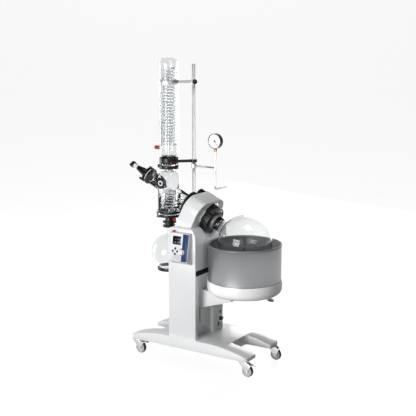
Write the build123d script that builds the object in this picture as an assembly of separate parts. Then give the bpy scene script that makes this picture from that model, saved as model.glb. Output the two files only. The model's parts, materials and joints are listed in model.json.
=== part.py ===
from build123d import *
import math
import os

# All lengths are millimetres. The floor is Z = 0 and the glassware stands in the plane Y = 0.

# Clearances
SEAT_GAP = 0.3
RUN_GAP = 0.06

# Turning axis: through the middle of the evaporating flask, rising to the left
AXIS_TILT = 25.9
FLASK_X = 334
FLASK_Z = 826

# Base and casters
BASE_X = 19
BASE_LENGTH = 913
BASE_WIDTH = 430
BASE_BOTTOM = 100
BASE_TOP = 172
BASE_END_TOP = 124
BASE_FLAT = 320
BASE_CORNER = 28
BASE_SLOT_WIDTH = 194
BASE_SLOT_DEPTH = 184
BASE_SLOT_CORNER = 24
BASE_WALL = 14
CASTER_INSET_X = 35.5
CASTER_INSET_Y = 29
CASTER_PLATE = 62
CASTER_PLATE_THICK = 4
KINGPIN_RADIUS = 6
KINGPIN_HEAD_RADIUS = 10
KINGPIN_HEAD_THICK = 3.5
FORK_DISC_RADIUS = 24
FORK_DISC_THICK = 9.7
FORK_LEG_THICK = 3
FORK_LEG_GAP = 1.5
FORK_BOSS_RADIUS = 11
CASTER_TRAIL = 30
WHEEL_RADIUS = 37.5
WHEEL_WIDTH = 26
WHEEL_HUB_RADIUS = 25
WHEEL_DISH = 4
AXLE_RADIUS = 4
PEDAL_PIVOT_X = 54
PEDAL_PIVOT_Z = 77
PEDAL_PIN_RADIUS = 2.5
PEDAL_BARREL_RADIUS = 5.5
PEDAL_LENGTH = 38
PEDAL_WIDTH = 24
PEDAL_THICK = 3

# Tower
TOWER_LEFT = -126
TOWER_RIGHT = 86
TOWER_FRONT = -207
TOWER_BACK = 162
TOWER_TOP = 908
TOWER_WALL = 3
TOWER_EDGE = 6
TOWER_BEVEL_X = 25
TOWER_BEVEL_Z = 42
TOWER_LEFT_BEVEL = 16
RECESS_X = 56
RECESS_FRONT = -177
RECESS_TOP = 629
COLLAR_POCKET_RADIUS = 115
COVER_THICK = 2
LOUVRE_LENGTH = 120
LOUVRE_HEIGHT = 6
LOUVRE_PITCH = 18
LOUVRE_COUNT = 9
LOUVRE_Z = 420

# Connection box in the recess
SERVICE_BACK = 129
SERVICE_FRONT = 3
SERVICE_TOP = 350
MAIN_SWITCH_Y = 98
MAIN_SWITCH_Z = 247
MAIN_SWITCH_RADIUS = 15
MAIN_SWITCH_HEIGHT = 14
SWITCH_SHAFT_RADIUS = 3
SWITCH_SHAFT_LENGTH = 12
ROCKER_Z = 294
ROCKER_WIDTH = 14
ROCKER_RADIUS = 16
ROCKER_DEPTH = 12
ROCKER_DISH = 12.8
INLET_Y = 78
INLET_Z = 211
INLET_WIDTH = 26
INLET_HEIGHT = 34
INLET_DEPTH = 12

# Drive head, measured along the turning axis from the flask's middle
HEAD_START = 316
HEAD_END = 431
HEAD_HALF_WIDTH = 162
HEAD_TOP = 112
HEAD_DEPTH = 190
HEAD_CORNER = 90
HEAD_WALL = 4
HEAD_EDGE = 3
TUBE_RADIUS = 40
TUBE_BORE = 31
TUBE_END = 470
TUBE_FLANGE_RADIUS = 54
TUBE_FLANGE_THICK = 8
BEARING_RADIUS = 58
BEARING_WIDTH = 18
BOSS_WALL = 6
PULLEY_START = 362
PULLEY_WIDTH = 22
TUBE_PULLEY_RADIUS = 60
MOTOR_PULLEY_RADIUS = 24
MOTOR_Y = 112
MOTOR_UP = 48
MOTOR_RADIUS = 36
MOTOR_LENGTH = 69
MOTOR_CAP = 8
MOTOR_FINS = 18
MOTOR_FIN_DEPTH = 6
MOTOR_FIN_THICK = 3
MOTOR_SHAFT_RADIUS = 7
MOTOR_SHAFT_DEPTH = 34
BELT_THICK = 3
BELT_SIDE = 2
SEAL_RADIUS = 82
SEAL_LENGTH = 44
SEAL_STEP_RADIUS = 70
SEAL_STEP_LENGTH = 12
SEAL_EDGE = 4

# Flask collar and evaporating flask
COLLAR_START = 256
COLLAR_END = 313
COLLAR_RADIUS = 91
COLLAR_LIP = 10
COLLAR_GROOVES = 24
COLLAR_GROOVE_RADIUS = 5
COLLAR_GROOVE_DEPTH = 3
COLLAR_EDGE = 3
COLLAR_RING_RADIUS = 55
COLLAR_RING_LENGTH = 20
LUG_ANGLE = 76
LUG_REACH = 106
LUG_WIDTH = 26
LUG_ROOT = 15
LUG_LENGTH = 24
LEVER_RADIUS = 4
LEVER_LENGTH = 32
LEVER_PLACE = 97
FLASK_RADIUS = 175
FLASK_NECK_RADIUS = 46
FLASK_BLEND = 26
FLASK_WALL = 4
FLASK_FLANGE_THICK = 8

# Heating bath and its lift
POT_RADIUS = 237
POT_WALL = 4
POT_BOTTOM = 560
POT_TOP = 818
POT_RIM = 6
POT_LIP = 4.5
POT_CORNER = 24
SKIRT_MARGIN = 6.5
SKIRT_WALL = 3
SKIRT_DROP = 70
SKIRT_OVERLAP = 20
SKIRT_CORNER = 40
HEATER_RADIUS = 190
HEATER_HOLE = 50
HEATER_THICK = 12
HEATER_FOOT_RADIUS = 10
HEATER_FEET = 3
HEATER_FOOT_CIRCLE = 140
ARM_FRONT = -110
ARM_BACK = 70
ARM_ROOT_BACK = -10
ARM_ROOT_HEIGHT = 113
ARM_RISE = 0.317
ARM_END = 300
ARM_WALL = 6
ARM_EDGE = 8
LIFT_TRAVEL = 110
LIFT_SPARE = 5
LIFT_X = 0
LIFT_Y = -108
LIFT_COLUMN_RADIUS = 15
LIFT_COLUMN_TOP = 600
LIFT_MOTOR_SIZE = 70
LIFT_MOTOR_HEIGHT = 80
LIFT_NUT_SIZE = 64
LIFT_NECK = 10
DRAIN_X = 512
DRAIN_DROP = 22
DRAIN_RADIUS = 10
DRAIN_NUT_RADIUS = 13
DRAIN_START = 498
DRAIN_END = 545
DRAIN_BORE = 6
DRAIN_STEM_RADIUS = 4
DRAIN_STEM_LENGTH = 5
DRAIN_LEVER_LENGTH = 42
DRAIN_LEVER_WIDTH = 10
DRAIN_LEVER_THICK = 4

# Control box on the tower's front
BOX_LEFT = -83
BOX_RIGHT = 62
BOX_TOP = 885
BOX_TOP_DEPTH = 30
BOX_LOW = 704
BOX_LOW_DEPTH = 60
BOX_FOOT = 676
BOX_EDGE = 5
FACE_MARGIN = 3
FACE_THICK = 2
DISPLAY_WIDTH = 65
DISPLAY_HEIGHT = 54
DISPLAY_THICK = 2.6
DISPLAY_X = -17
DISPLAY_UP = 44
KEYS = 4
KEY_RADIUS = 8
KEY_HEIGHT = 1.2
KEY_SPREAD = 17
KEY_X = -25
KEY_UP = -27
KNOB_RADIUS = 17
KNOB_HEIGHT = 16
KNOB_FLANGE_RADIUS = 20
KNOB_FLANGE_THICK = 3
KNOB_X = 24
KNOB_UP = -29
KNOB_SHAFT_RADIUS = 3
KNOB_SHAFT_LENGTH = 14
STOP_X = -70
STOP_Y = -222
STOP_RADIUS = 11
STOP_HEIGHT = 7
STOP_STEM_RADIUS = 5
STOP_STEM_LENGTH = 14
STOP_TRAVEL = 3

# Support rod and clamps
ROD_X = -142
ROD_Y = 123
ROD_RADIUS = 12
ROD_BOTTOM = 812
ROD_TOP = 1945
FOOT_HALF = 22
FOOT_LOW = 818
FOOT_HIGH = 882
CLAMP_Z = 1829
CLAMP_HEIGHT = 26
CLAMP_WALL = 6
CLAMP_HUB_RADIUS = 22
CLAMP_ARM = 18
CLAMP_KNOB_RADIUS = 17
CLAMP_KNOB_HEIGHT = 18
CLAMP_STUD_RADIUS = 4
CLAMP_KNOB_LOBES = 6

# Condenser and its coils
TOWER_GLASS_X = -258
JACKET_RADIUS = 65
JACKET_WALL = 3
JACKET_BOTTOM = 1336
JACKET_TOP = 1985
JACKET_CORNER = 34
JACKET_NECK_RADIUS = 30
JOINT_Z = 1284
GLASS_FLANGE_RADIUS = 50
GLASS_FLANGE_THICK = 6
COIL_RADIUS = 46
COIL_TUBE = 6
COIL_PITCH = 20
COIL_TURNS = 25
COIL_BOTTOM = 1418
COIL_STEPS = 12
LOWER_COIL_RADIUS = 50
LOWER_COIL_PITCH = 19
LOWER_COIL_TURNS = 6
LOWER_COIL_BOTTOM = 985
VENT_Z = 1390
VENT_RADIUS = 10
VENT_BORE = 6
VENT_LENGTH = 22
VENT_KNOB_RADIUS = 13
VENT_KNOB_LENGTH = 26
VENT_STEM = 14

# Vapour manifold and flanges
VESSEL_RADIUS = 76
VESSEL_WALL = 3.5
VESSEL_BOTTOM = 951
VESSEL_TOP = 1240
VESSEL_SHOULDER = 40
MANIFOLD_NECK_RADIUS = 35
CROSS_RADIUS = 45
CROSS_WALL = 3
CROSS_START = 437
CROSS_END = 840
CROSS_FLANGE_RADIUS = 52
CROSS_FLANGE_THICK = 6
VESSEL_FLANGE_RADIUS = 84
VESSEL_FLANGE_THICK = 7
PORT_Z = 1168
PORT_RADIUS = 17
PORT_REACH = 18
CAP_RADIUS = 21
CAP_LENGTH = 20
CAP_OVERLAP = 12
CAP_EDGE = 3
UPPER_RING_RADIUS = 65
UPPER_RING_HEIGHT = 20
UPPER_RING_RIM = 18
UPPER_RING_WALL = 5
NECK_RING_HEIGHT = 22
RING_EAR_REACH = 88
RING_EAR_WIDTH = 20
BASE_RING_RADIUS = 86
BASE_RING_HEIGHT = 12
BASE_PLATE_THICK = 18
BASE_EAR_REACH = 100
BASE_EAR_DROP = 20
OUTLET_RADIUS = 14

# Receiver
RECEIVER_Z = 683
RECEIVER_RADIUS = 125
RECEIVER_NECK_RADIUS = 24
RECEIVER_BLEND = 20
RECEIVER_WALL = 3
VALVE_BOTTOM = 856
VALVE_RADIUS = 30
VALVE_DISC_RADIUS = 47
VALVE_DISC_THICK = 12
VALVE_DISC_LOW = 858
VALVE_DISC_HIGH = 886
VALVE_STEM_Z = 912
VALVE_STEM_RADIUS = 5
VALVE_STEM_DEPTH = 14
VALVE_KNOB_RADIUS = 10
VALVE_KNOB_LENGTH = 18
CRADLE_RADIUS = 84
CRADLE_WALL = 7
CRADLE_HEIGHT = 22
CRADLE_ARM = 22
CRADLE_FOOT = 60
CRADLE_FOOT_THICK = 6

# Feed valve on the free end of the slanted tube
FEED_RING_RADIUS = 56
FEED_RING_THICK = 10
FEED_BOLTS = 4
FEED_BOLT_RADIUS = 8
FEED_BOLT_LENGTH = 34
FEED_BOLT_CIRCLE = 52
FEED_BOLT_TURN = 45
FEED_BODY_RADIUS = 26
FEED_BODY_TAPER = 15
FEED_BODY_LENGTH = 140
FEED_DISC_THICK = 10
FEED_STEM_RADIUS = 5
FEED_STEM_DEPTH = 30
FEED_KNOB_RADIUS = 22
FEED_KNOB_LENGTH = 22
FEED_WING_REACH = 32
FEED_WING_THICK = 10

# Vacuum gauge
GAUGE_X = 29
GAUGE_Z = 1444
GAUGE_RADIUS = 50
GAUGE_DEPTH = 36
GAUGE_BEZEL = 5
GAUGE_RECESS = 9
GAUGE_PIN_RADIUS = 1.5
NEEDLE_LENGTH = 36
NEEDLE_TAIL = 10
NEEDLE_WIDTH = 3
NEEDLE_THICK = 1.2
NEEDLE_HUB_RADIUS = 5
NEEDLE_ANGLE = -50
PIPE_RADIUS = 7
PIPE_LOW = 1122
PIPE_BEND = 22
GAUGE_NUT_RADIUS = 13
GAUGE_NUT_HEIGHT = 22
GAUGE_ARM_Z = 1266
GAUGE_ARM_RADIUS = 5.5
GAUGE_HUB_HEIGHT = 26
NIPPLE_END = 262
NIPPLE_LENGTH = 34
NIPPLE_RADIUS = 6

CASTER_REACH_X = BASE_LENGTH / 2 - CASTER_INSET_X
CASTER_REACH_Y = BASE_WIDTH / 2 - CASTER_INSET_Y
SKIRT_RADIUS = POT_RADIUS + SKIRT_MARGIN
SKIRT_BOTTOM = POT_BOTTOM - SKIRT_DROP
SKIRT_TOP = POT_BOTTOM + SKIRT_OVERLAP
ARM_ROOT_BOTTOM = SKIRT_BOTTOM - ARM_ROOT_HEIGHT
DRAIN_Z = SKIRT_BOTTOM - DRAIN_DROP
TILT = math.radians(AXIS_TILT)
AXIS = Plane(origin=(FLASK_X, 0, FLASK_Z), x_dir=(0, -1, 0), z_dir=(-math.cos(TILT), 0, math.sin(TILT)))
ON_FLOOR = (Align.CENTER, Align.CENTER, Align.MIN)
GLASS_STAND = Pos(TOWER_GLASS_X, 0, 0)


def rod(radius, low, high):
    """A round bar along Z."""
    return Pos(0, 0, low) * Cylinder(radius, high - low, align=ON_FLOOR)


def ring(outer, inner, low, high):
    """A round tube along Z."""
    return rod(outer, low, high) - rod(inner, low, high)


def block(x_low, x_high, y_low, y_high, z_low, z_high):
    """A box between two corners."""
    middle = Pos((x_low + x_high) / 2, (y_low + y_high) / 2, (z_low + z_high) / 2)
    return middle * Box(x_high - x_low, y_high - y_low, z_high - z_low)


def face_of(*lines):
    """A flat face from lines and arcs that close on each other."""
    return make_face([edge for line in lines for edge in line.edges()])


def across(profile, y_low, y_high):
    """A face drawn in X and Z, drawn out along Y."""
    return Pos(0, y_low, 0) * extrude(Plane.XZ * profile, y_high - y_low, dir=(0, 1, 0))


def chamfer_ends(solid, axis, size):
    """A solid with the outer round edges of both its end faces cut back."""
    ends = [solid.faces().sort_by(axis)[0], solid.faces().sort_by(axis)[-1]]
    edges = [end.outer_wire().edges() for end in ends]
    return chamfer([edge for group in edges for edge in group], size)


def round_flask(radius, neck, neck_end, blend, wall):
    """A round flask about Z, middle at the origin, with a blended neck that is open at its top."""
    blend_x = neck + blend
    blend_z = math.sqrt((radius + blend) ** 2 - blend_x ** 2)
    lean = math.atan2(blend_z, blend_x)

    def skin(inset):
        sphere = radius - inset
        turn = blend + inset
        low = (0, -sphere)
        side = (sphere, 0)
        shoulder = (sphere * math.cos(lean), sphere * math.sin(lean))
        half = (math.pi + lean + math.pi) / 2
        middle = (blend_x + turn * math.cos(half), blend_z + turn * math.sin(half))
        foot = (neck - inset, blend_z)
        top = (neck - inset, neck_end)
        arcs = (ThreePointArc(low, side, shoulder), ThreePointArc(shoulder, middle, foot))
        edge = Polyline(foot, top, (0, neck_end), low)
        return revolve(Plane.XZ * face_of(*arcs, edge), Axis.Z)

    return skin(0) - skin(wall)


def caster_places():
    """The four swivel axes, by name."""
    return {
        "front_left": (BASE_X - CASTER_REACH_X, -CASTER_REACH_Y),
        "front_right": (BASE_X + CASTER_REACH_X, -CASTER_REACH_Y),
        "rear_left": (BASE_X - CASTER_REACH_X, CASTER_REACH_Y),
        "rear_right": (BASE_X + CASTER_REACH_X, CASTER_REACH_Y),
    }


FORK_TOP = BASE_BOTTOM - CASTER_PLATE_THICK - SEAT_GAP
FORK_BOTTOM = FORK_TOP - FORK_DISC_THICK
LEG_INNER = WHEEL_WIDTH / 2 + FORK_LEG_GAP


def kingpin():
    """A caster's mounting plate with its swivel pin, about the swivel axis."""
    plate_low = BASE_BOTTOM - CASTER_PLATE_THICK
    half = CASTER_PLATE / 2
    head_top = FORK_BOTTOM - SEAT_GAP
    head_low = head_top - KINGPIN_HEAD_THICK
    plate = block(-half, half, -half / 1.2, half / 1.2, plate_low, BASE_BOTTOM)
    return plate + rod(KINGPIN_RADIUS, head_low, plate_low) + rod(KINGPIN_HEAD_RADIUS, head_low, head_top)


def base_frame():
    """The arched H-shaped base, hollow below, with the caster plates welded on."""
    half = BASE_LENGTH / 2
    flat = BASE_FLAT / 2
    crown = Line((-flat, BASE_TOP), (flat, BASE_TOP))
    right = TangentArc((flat, BASE_TOP), (half, BASE_END_TOP), tangent=(1, 0))
    left = TangentArc((-flat, BASE_TOP), (-half, BASE_END_TOP), tangent=(-1, 0))
    under = Polyline((-half, BASE_END_TOP), (-half, BASE_BOTTOM), (half, BASE_BOTTOM), (half, BASE_END_TOP))
    body = across(face_of(crown, right, left, under), -BASE_WIDTH / 2, BASE_WIDTH / 2)
    body = fillet(body.edges().filter_by(Axis.Z), BASE_CORNER)
    slot_end = half - BASE_SLOT_DEPTH
    slot = block(slot_end, 2 * half, -BASE_SLOT_WIDTH / 2, BASE_SLOT_WIDTH / 2, 0, 2 * BASE_TOP)
    slot = fillet(slot.edges().filter_by(Axis.Z), BASE_SLOT_CORNER)
    pocket_x = slot_end - BASE_WALL
    pocket_y = BASE_WIDTH / 2 - BASE_WALL
    pocket = block(-pocket_x, pocket_x, -pocket_y, pocket_y, 0, BASE_TOP - 2 * BASE_WALL)
    body = Pos(BASE_X, 0, 0) * (body - slot - Rot(0, 0, 180) * slot - pocket)
    for x, y in caster_places().values():
        body += Pos(x, y, 0) * kingpin()
    return body


def caster_fork():
    """A swivel fork with its riveted axle and pedal pin, about the swivel axis."""
    leg = Polygon(
        (-FORK_DISC_RADIUS, FORK_TOP),
        (FORK_DISC_RADIUS, FORK_TOP),
        (PEDAL_PIVOT_X + PEDAL_BARREL_RADIUS, PEDAL_PIVOT_Z),
        (CASTER_TRAIL + FORK_BOSS_RADIUS, WHEEL_RADIUS),
        (CASTER_TRAIL - FORK_BOSS_RADIUS, WHEEL_RADIUS),
        (-FORK_DISC_RADIUS, FORK_BOTTOM),
        align=None,
    )
    leg += Pos(CASTER_TRAIL, WHEEL_RADIUS) * Circle(FORK_BOSS_RADIUS)
    leg += Pos(PEDAL_PIVOT_X, PEDAL_PIVOT_Z) * Circle(PEDAL_BARREL_RADIUS)
    outer = LEG_INNER + FORK_LEG_THICK
    fork = across(leg, LEG_INNER, outer) + across(leg, -outer, -LEG_INNER)
    fork += rod(FORK_DISC_RADIUS, FORK_BOTTOM, FORK_TOP)
    fork += across(Pos(CASTER_TRAIL, WHEEL_RADIUS) * Circle(AXLE_RADIUS), -outer, outer)
    fork += across(Pos(PEDAL_PIVOT_X, PEDAL_PIVOT_Z) * Circle(PEDAL_PIN_RADIUS), -outer, outer)
    return fork - rod(KINGPIN_RADIUS + RUN_GAP, FORK_BOTTOM, FORK_TOP)


def caster_wheel():
    """A wheel with a rounded tread and a dished hub, about the swivel axis."""
    half = WHEEL_WIDTH / 2
    tread = half / 2
    profile = Polygon(
        (AXLE_RADIUS + RUN_GAP, half),
        (AXLE_RADIUS + WHEEL_DISH, half),
        (AXLE_RADIUS + 2 * WHEEL_DISH, half - WHEEL_DISH),
        (WHEEL_HUB_RADIUS - WHEEL_DISH, half - WHEEL_DISH),
        (WHEEL_HUB_RADIUS, half),
        (WHEEL_RADIUS - tread / 2, half),
        (WHEEL_RADIUS, tread),
        (WHEEL_RADIUS, 0),
        (AXLE_RADIUS + RUN_GAP, 0),
        align=None,
    )
    side = revolve(Plane.XZ * profile, Axis.Z)
    wheel = side + mirror(side, Plane.XY)
    return Pos(CASTER_TRAIL, 0, WHEEL_RADIUS) * Rot(90, 0, 0) * wheel


def caster_pedal():
    """A brake pedal on the fork's rear pin, about the swivel axis."""
    half = PEDAL_WIDTH / 2
    pivot = Pos(PEDAL_PIVOT_X, PEDAL_PIVOT_Z)
    barrel = across(pivot * Circle(PEDAL_BARREL_RADIUS), -LEG_INNER + SEAT_GAP, LEG_INNER - SEAT_GAP)
    tip = PEDAL_PIVOT_X + PEDAL_LENGTH
    plate_top = PEDAL_PIVOT_Z + PEDAL_BARREL_RADIUS
    plate = block(PEDAL_PIVOT_X, tip, -half, half, plate_top - PEDAL_THICK, plate_top)
    plate = fillet(plate.edges().filter_by(Axis.Z).group_by(Axis.X)[-1], half / 2)
    bore = across(pivot * Circle(PEDAL_PIN_RADIUS + RUN_GAP), -2 * half, 2 * half)
    return barrel + plate - bore


def tower_solid(inset):
    """The tower's body with its bevels, side recess and collar pocket, drawn in by a wall."""
    left = TOWER_LEFT + inset
    right = TOWER_RIGHT - inset
    top = TOWER_TOP - inset
    outline = Polyline(
        (left, BASE_TOP),
        (right, BASE_TOP),
        (right, top - TOWER_BEVEL_Z),
        (right - TOWER_BEVEL_X, top),
        (left + TOWER_LEFT_BEVEL, top),
        (left, top - TOWER_LEFT_BEVEL),
        close=True,
    )
    body = across(face_of(outline), TOWER_FRONT + inset, TOWER_BACK)
    if inset == 0:
        body = fillet(body.edges().filter_by(Axis.Z).group_by(Axis.Y)[0], TOWER_EDGE)
    recess_front = RECESS_FRONT - inset
    recess = block(RECESS_X - inset, 2 * TOWER_RIGHT, recess_front, 2 * TOWER_BACK, 0, RECESS_TOP + inset)
    pocket = AXIS * rod(COLLAR_POCKET_RADIUS + inset, 0, HEAD_START + inset)
    return body - recess - pocket


def tower_shell():
    """The tower's sheet-metal shell, open at its back and foot, with the lift slot."""
    shell = tower_solid(0) - tower_solid(TOWER_WALL)
    slot_half = LIFT_NECK / 2 + SEAT_GAP
    slot_low = ARM_ROOT_BOTTOM - LIFT_TRAVEL - LIFT_SPARE
    slot_high = SKIRT_BOTTOM + LIFT_SPARE
    slot = block(RECESS_X - 2 * TOWER_WALL, RECESS_X + TOWER_WALL, LIFT_Y - slot_half, LIFT_Y + slot_half,
                 slot_low, slot_high)
    return shell - slot


def rear_cover():
    """The tower's rear cover, with a column of louvres."""
    slab = block(2 * TOWER_LEFT, 2 * TOWER_RIGHT, TOWER_BACK - COVER_THICK, TOWER_BACK, 0, 2 * TOWER_TOP)
    cover = Pos(0, COVER_THICK, 0) * (tower_solid(0) & slab)
    middle = (TOWER_LEFT + RECESS_X) / 2
    half = LOUVRE_LENGTH / 2
    for row in range(LOUVRE_COUNT):
        low = LOUVRE_Z + row * LOUVRE_PITCH
        cover -= block(middle - half, middle + half, TOWER_BACK, 2 * TOWER_BACK, low, low + LOUVRE_HEIGHT)
    return cover


def service_box():
    """The connection box in the recess, with a mains inlet and seats for its two controls."""
    box = block(RECESS_X, TOWER_RIGHT, SERVICE_FRONT, SERVICE_BACK, BASE_TOP, SERVICE_TOP)
    box = chamfer(box.edges().filter_by(Axis.Y).group_by(Axis.X)[-1].sort_by(Axis.Z)[-1:], TOWER_WALL)
    face = Pos(TOWER_RIGHT, 0, 0)
    shaft = Pos(0, MAIN_SWITCH_Y, MAIN_SWITCH_Z) * Rot(0, 90, 0)
    box -= face * shaft * rod(SWITCH_SHAFT_RADIUS + RUN_GAP, -SWITCH_SHAFT_LENGTH - SEAT_GAP, 0)
    rocker_half = ROCKER_WIDTH / 2 + SEAT_GAP
    rocker_reach = ROCKER_RADIUS + SEAT_GAP
    rocker_place = Pos(-ROCKER_DEPTH, MAIN_SWITCH_Y, ROCKER_Z) * Rot(90, 0, 0)
    box -= face * rocker_place * rod(rocker_reach, -rocker_half, rocker_half)
    inlet = Rot(0, 90, 0) * extrude(SlotOverall(INLET_HEIGHT, INLET_WIDTH), INLET_DEPTH, both=True)
    return box - face * Pos(0, INLET_Y, INLET_Z) * inlet


def main_switch():
    """A round switch knob with a grip bar, on the connection box."""
    knob = rod(MAIN_SWITCH_RADIUS, SEAT_GAP, MAIN_SWITCH_HEIGHT)
    knob = chamfer(knob.faces().sort_by(Axis.Z)[-1].edges(), 2 * SEAT_GAP)
    grip = MAIN_SWITCH_RADIUS / 4
    knob += block(-grip, grip, -MAIN_SWITCH_RADIUS, MAIN_SWITCH_RADIUS, SEAT_GAP, MAIN_SWITCH_HEIGHT + grip)
    knob += rod(SWITCH_SHAFT_RADIUS, -SWITCH_SHAFT_LENGTH, SEAT_GAP)
    return Pos(TOWER_RIGHT, MAIN_SWITCH_Y, MAIN_SWITCH_Z) * Rot(0, 90, 0) * knob


def power_switch():
    """A rocker in its seat, turning about a line along Y inside the connection box."""
    half = ROCKER_WIDTH / 2
    rocker = Rot(90, 0, 0) * rod(ROCKER_RADIUS, -half, half)
    hollow = ROCKER_RADIUS * 2
    dish = Pos(hollow + ROCKER_DISH, 0, 0) * Rot(90, 0, 0) * rod(hollow, -2 * half, 2 * half)
    return Pos(TOWER_RIGHT - ROCKER_DEPTH, MAIN_SWITCH_Y, ROCKER_Z) * (rocker - dish)


def head_housing():
    """The slanted head: an arched hollow housing with bearing bosses, cut level on the tower's top."""
    height = HEAD_TOP + HEAD_DEPTH
    outline = Pos(0, HEAD_TOP - height / 2) * Rectangle(2 * HEAD_HALF_WIDTH, height)
    outline = fillet(outline.vertices().group_by(Axis.Y)[-1], HEAD_CORNER)
    body = Pos(0, 0, HEAD_START) * extrude(outline, HEAD_END - HEAD_START)
    body = chamfer_ends(body, Axis.Z, HEAD_EDGE)
    cavity_low = HEAD_START + HEAD_WALL
    cavity_high = HEAD_END - HEAD_WALL
    body -= Pos(0, 0, cavity_low) * extrude(offset(outline, -HEAD_WALL), cavity_high - cavity_low)
    boss_radius = BEARING_RADIUS + BOSS_WALL
    body += rod(boss_radius, cavity_low, cavity_low + BEARING_WIDTH)
    body += rod(boss_radius, cavity_high - BEARING_WIDTH, cavity_high)
    body -= rod(BEARING_RADIUS + RUN_GAP, cavity_low, cavity_high)
    body -= rod(TUBE_RADIUS + BOSS_WALL, HEAD_START, HEAD_END)
    body -= Pos(-MOTOR_Y, MOTOR_UP, 0) * rod(MOTOR_SHAFT_RADIUS * 2, cavity_high, HEAD_END)
    reach = 2 * BASE_LENGTH
    return AXIS * body - block(-reach, reach, -reach, reach, 0, TOWER_TOP)


def tube_bearings():
    """The two bearings of the rotary tube."""
    inner = TUBE_RADIUS + RUN_GAP
    low = HEAD_START + HEAD_WALL
    high = HEAD_END - HEAD_WALL
    right = ring(BEARING_RADIUS, inner, low, low + BEARING_WIDTH)
    left = ring(BEARING_RADIUS, inner, high - BEARING_WIDTH, high)
    return [AXIS * right, AXIS * left]


def seal_collar():
    """The stepped collar that holds the vapour seal on the head's left."""
    step = HEAD_END + SEAL_LENGTH - SEAL_STEP_LENGTH
    collar = rod(SEAL_RADIUS, HEAD_END, step)
    collar = chamfer(collar.faces().sort_by(Axis.Z)[-1].edges(), SEAL_EDGE)
    collar += rod(SEAL_STEP_RADIUS, step, HEAD_END + SEAL_LENGTH)
    return AXIS * (collar - rod(CROSS_RADIUS + SEAT_GAP, HEAD_END, HEAD_END + SEAL_LENGTH))


MOTOR_PLACE = AXIS * Pos(-MOTOR_Y, MOTOR_UP, 0)


def drive_motor():
    """The finned drive motor on the head's left end."""
    end = HEAD_END + MOTOR_LENGTH
    core = MOTOR_RADIUS - MOTOR_FIN_DEPTH
    motor = rod(core, HEAD_END, end)
    motor += rod(MOTOR_RADIUS, HEAD_END, HEAD_END + MOTOR_CAP)
    motor += chamfer(rod(MOTOR_RADIUS, end - MOTOR_CAP, end).faces().sort_by(Axis.Z)[-1].edges(), SEAL_EDGE)
    half_fin = MOTOR_FIN_THICK / 2
    fin = block(core / 2, MOTOR_RADIUS - SEAT_GAP, -half_fin, half_fin, HEAD_END, end - MOTOR_CAP)
    for turn in range(MOTOR_FINS):
        motor += Rot(0, 0, turn * 360 / MOTOR_FINS) * fin
    shaft_hole = rod(MOTOR_SHAFT_RADIUS + RUN_GAP, HEAD_END, HEAD_END + MOTOR_SHAFT_DEPTH + SEAT_GAP)
    return MOTOR_PLACE * (motor - shaft_hole)


def motor_pulley():
    """The motor's shaft with its belt pulley."""
    pulley = rod(MOTOR_PULLEY_RADIUS, PULLEY_START, PULLEY_START + PULLEY_WIDTH)
    return MOTOR_PLACE * (pulley + rod(MOTOR_SHAFT_RADIUS, PULLEY_START, HEAD_END + MOTOR_SHAFT_DEPTH))


COLLAR_FACE = COLLAR_START + COLLAR_LIP + FLASK_FLANGE_THICK + 2 * SEAT_GAP


def rotary_tube():
    """The hollow shaft: a flange for the flask, a belt pulley and a long bore."""
    tube = rod(TUBE_RADIUS, COLLAR_FACE, TUBE_END)
    tube += rod(TUBE_FLANGE_RADIUS, COLLAR_FACE, COLLAR_FACE + TUBE_FLANGE_THICK)
    tube += rod(TUBE_PULLEY_RADIUS, PULLEY_START, PULLEY_START + PULLEY_WIDTH)
    return AXIS * (tube - rod(TUBE_BORE, COLLAR_FACE, TUBE_END))


def drive_belt():
    """The flat belt round both pulleys."""
    motor = Pos(-MOTOR_Y, MOTOR_UP)

    def loop(offset_out):
        big = Circle(TUBE_PULLEY_RADIUS + offset_out)
        small = motor * Circle(MOTOR_PULLEY_RADIUS + offset_out)
        return make_hull([big.edge(), small.edge()])

    band = loop(SEAT_GAP + BELT_THICK) - loop(SEAT_GAP)
    return AXIS * Pos(0, 0, PULLEY_START + BELT_SIDE) * extrude(band, PULLEY_WIDTH - 2 * BELT_SIDE)


def flask_collar():
    """The ribbed clamping collar over the flask's neck, with two lugs and a front ring."""
    collar = chamfer_ends(rod(COLLAR_RADIUS, COLLAR_START, COLLAR_END), Axis.Z, COLLAR_EDGE)
    groove_place = COLLAR_RADIUS + COLLAR_GROOVE_RADIUS - COLLAR_GROOVE_DEPTH
    groove = Pos(groove_place, 0, 0) * rod(COLLAR_GROOVE_RADIUS, COLLAR_START, COLLAR_END)
    for turn in range(COLLAR_GROOVES):
        collar -= Rot(0, 0, turn * 360 / COLLAR_GROOVES) * groove
    half_lug = LUG_WIDTH / 2
    lug_end = COLLAR_START + LUG_LENGTH
    lug = block(COLLAR_RADIUS - LUG_ROOT, LUG_REACH, -half_lug, half_lug, COLLAR_START, lug_end)
    lug = fillet(lug.edges().filter_by(Axis.Z).group_by(Axis.X)[-1], LUG_WIDTH / 4)
    for turn in (LUG_ANGLE, LUG_ANGLE + 180):
        collar += Rot(0, 0, turn) * lug
    collar += rod(COLLAR_RING_RADIUS, COLLAR_START - COLLAR_RING_LENGTH, COLLAR_START)
    flange_top = COLLAR_FACE + TUBE_FLANGE_THICK + SEAT_GAP
    collar -= rod(FLASK_NECK_RADIUS + SEAT_GAP, COLLAR_START - COLLAR_RING_LENGTH, COLLAR_FACE)
    collar -= rod(TUBE_FLANGE_RADIUS + SEAT_GAP, COLLAR_START + COLLAR_LIP, flange_top)
    return AXIS * (collar - rod(TUBE_RADIUS + SEAT_GAP, flange_top, COLLAR_END))


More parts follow.
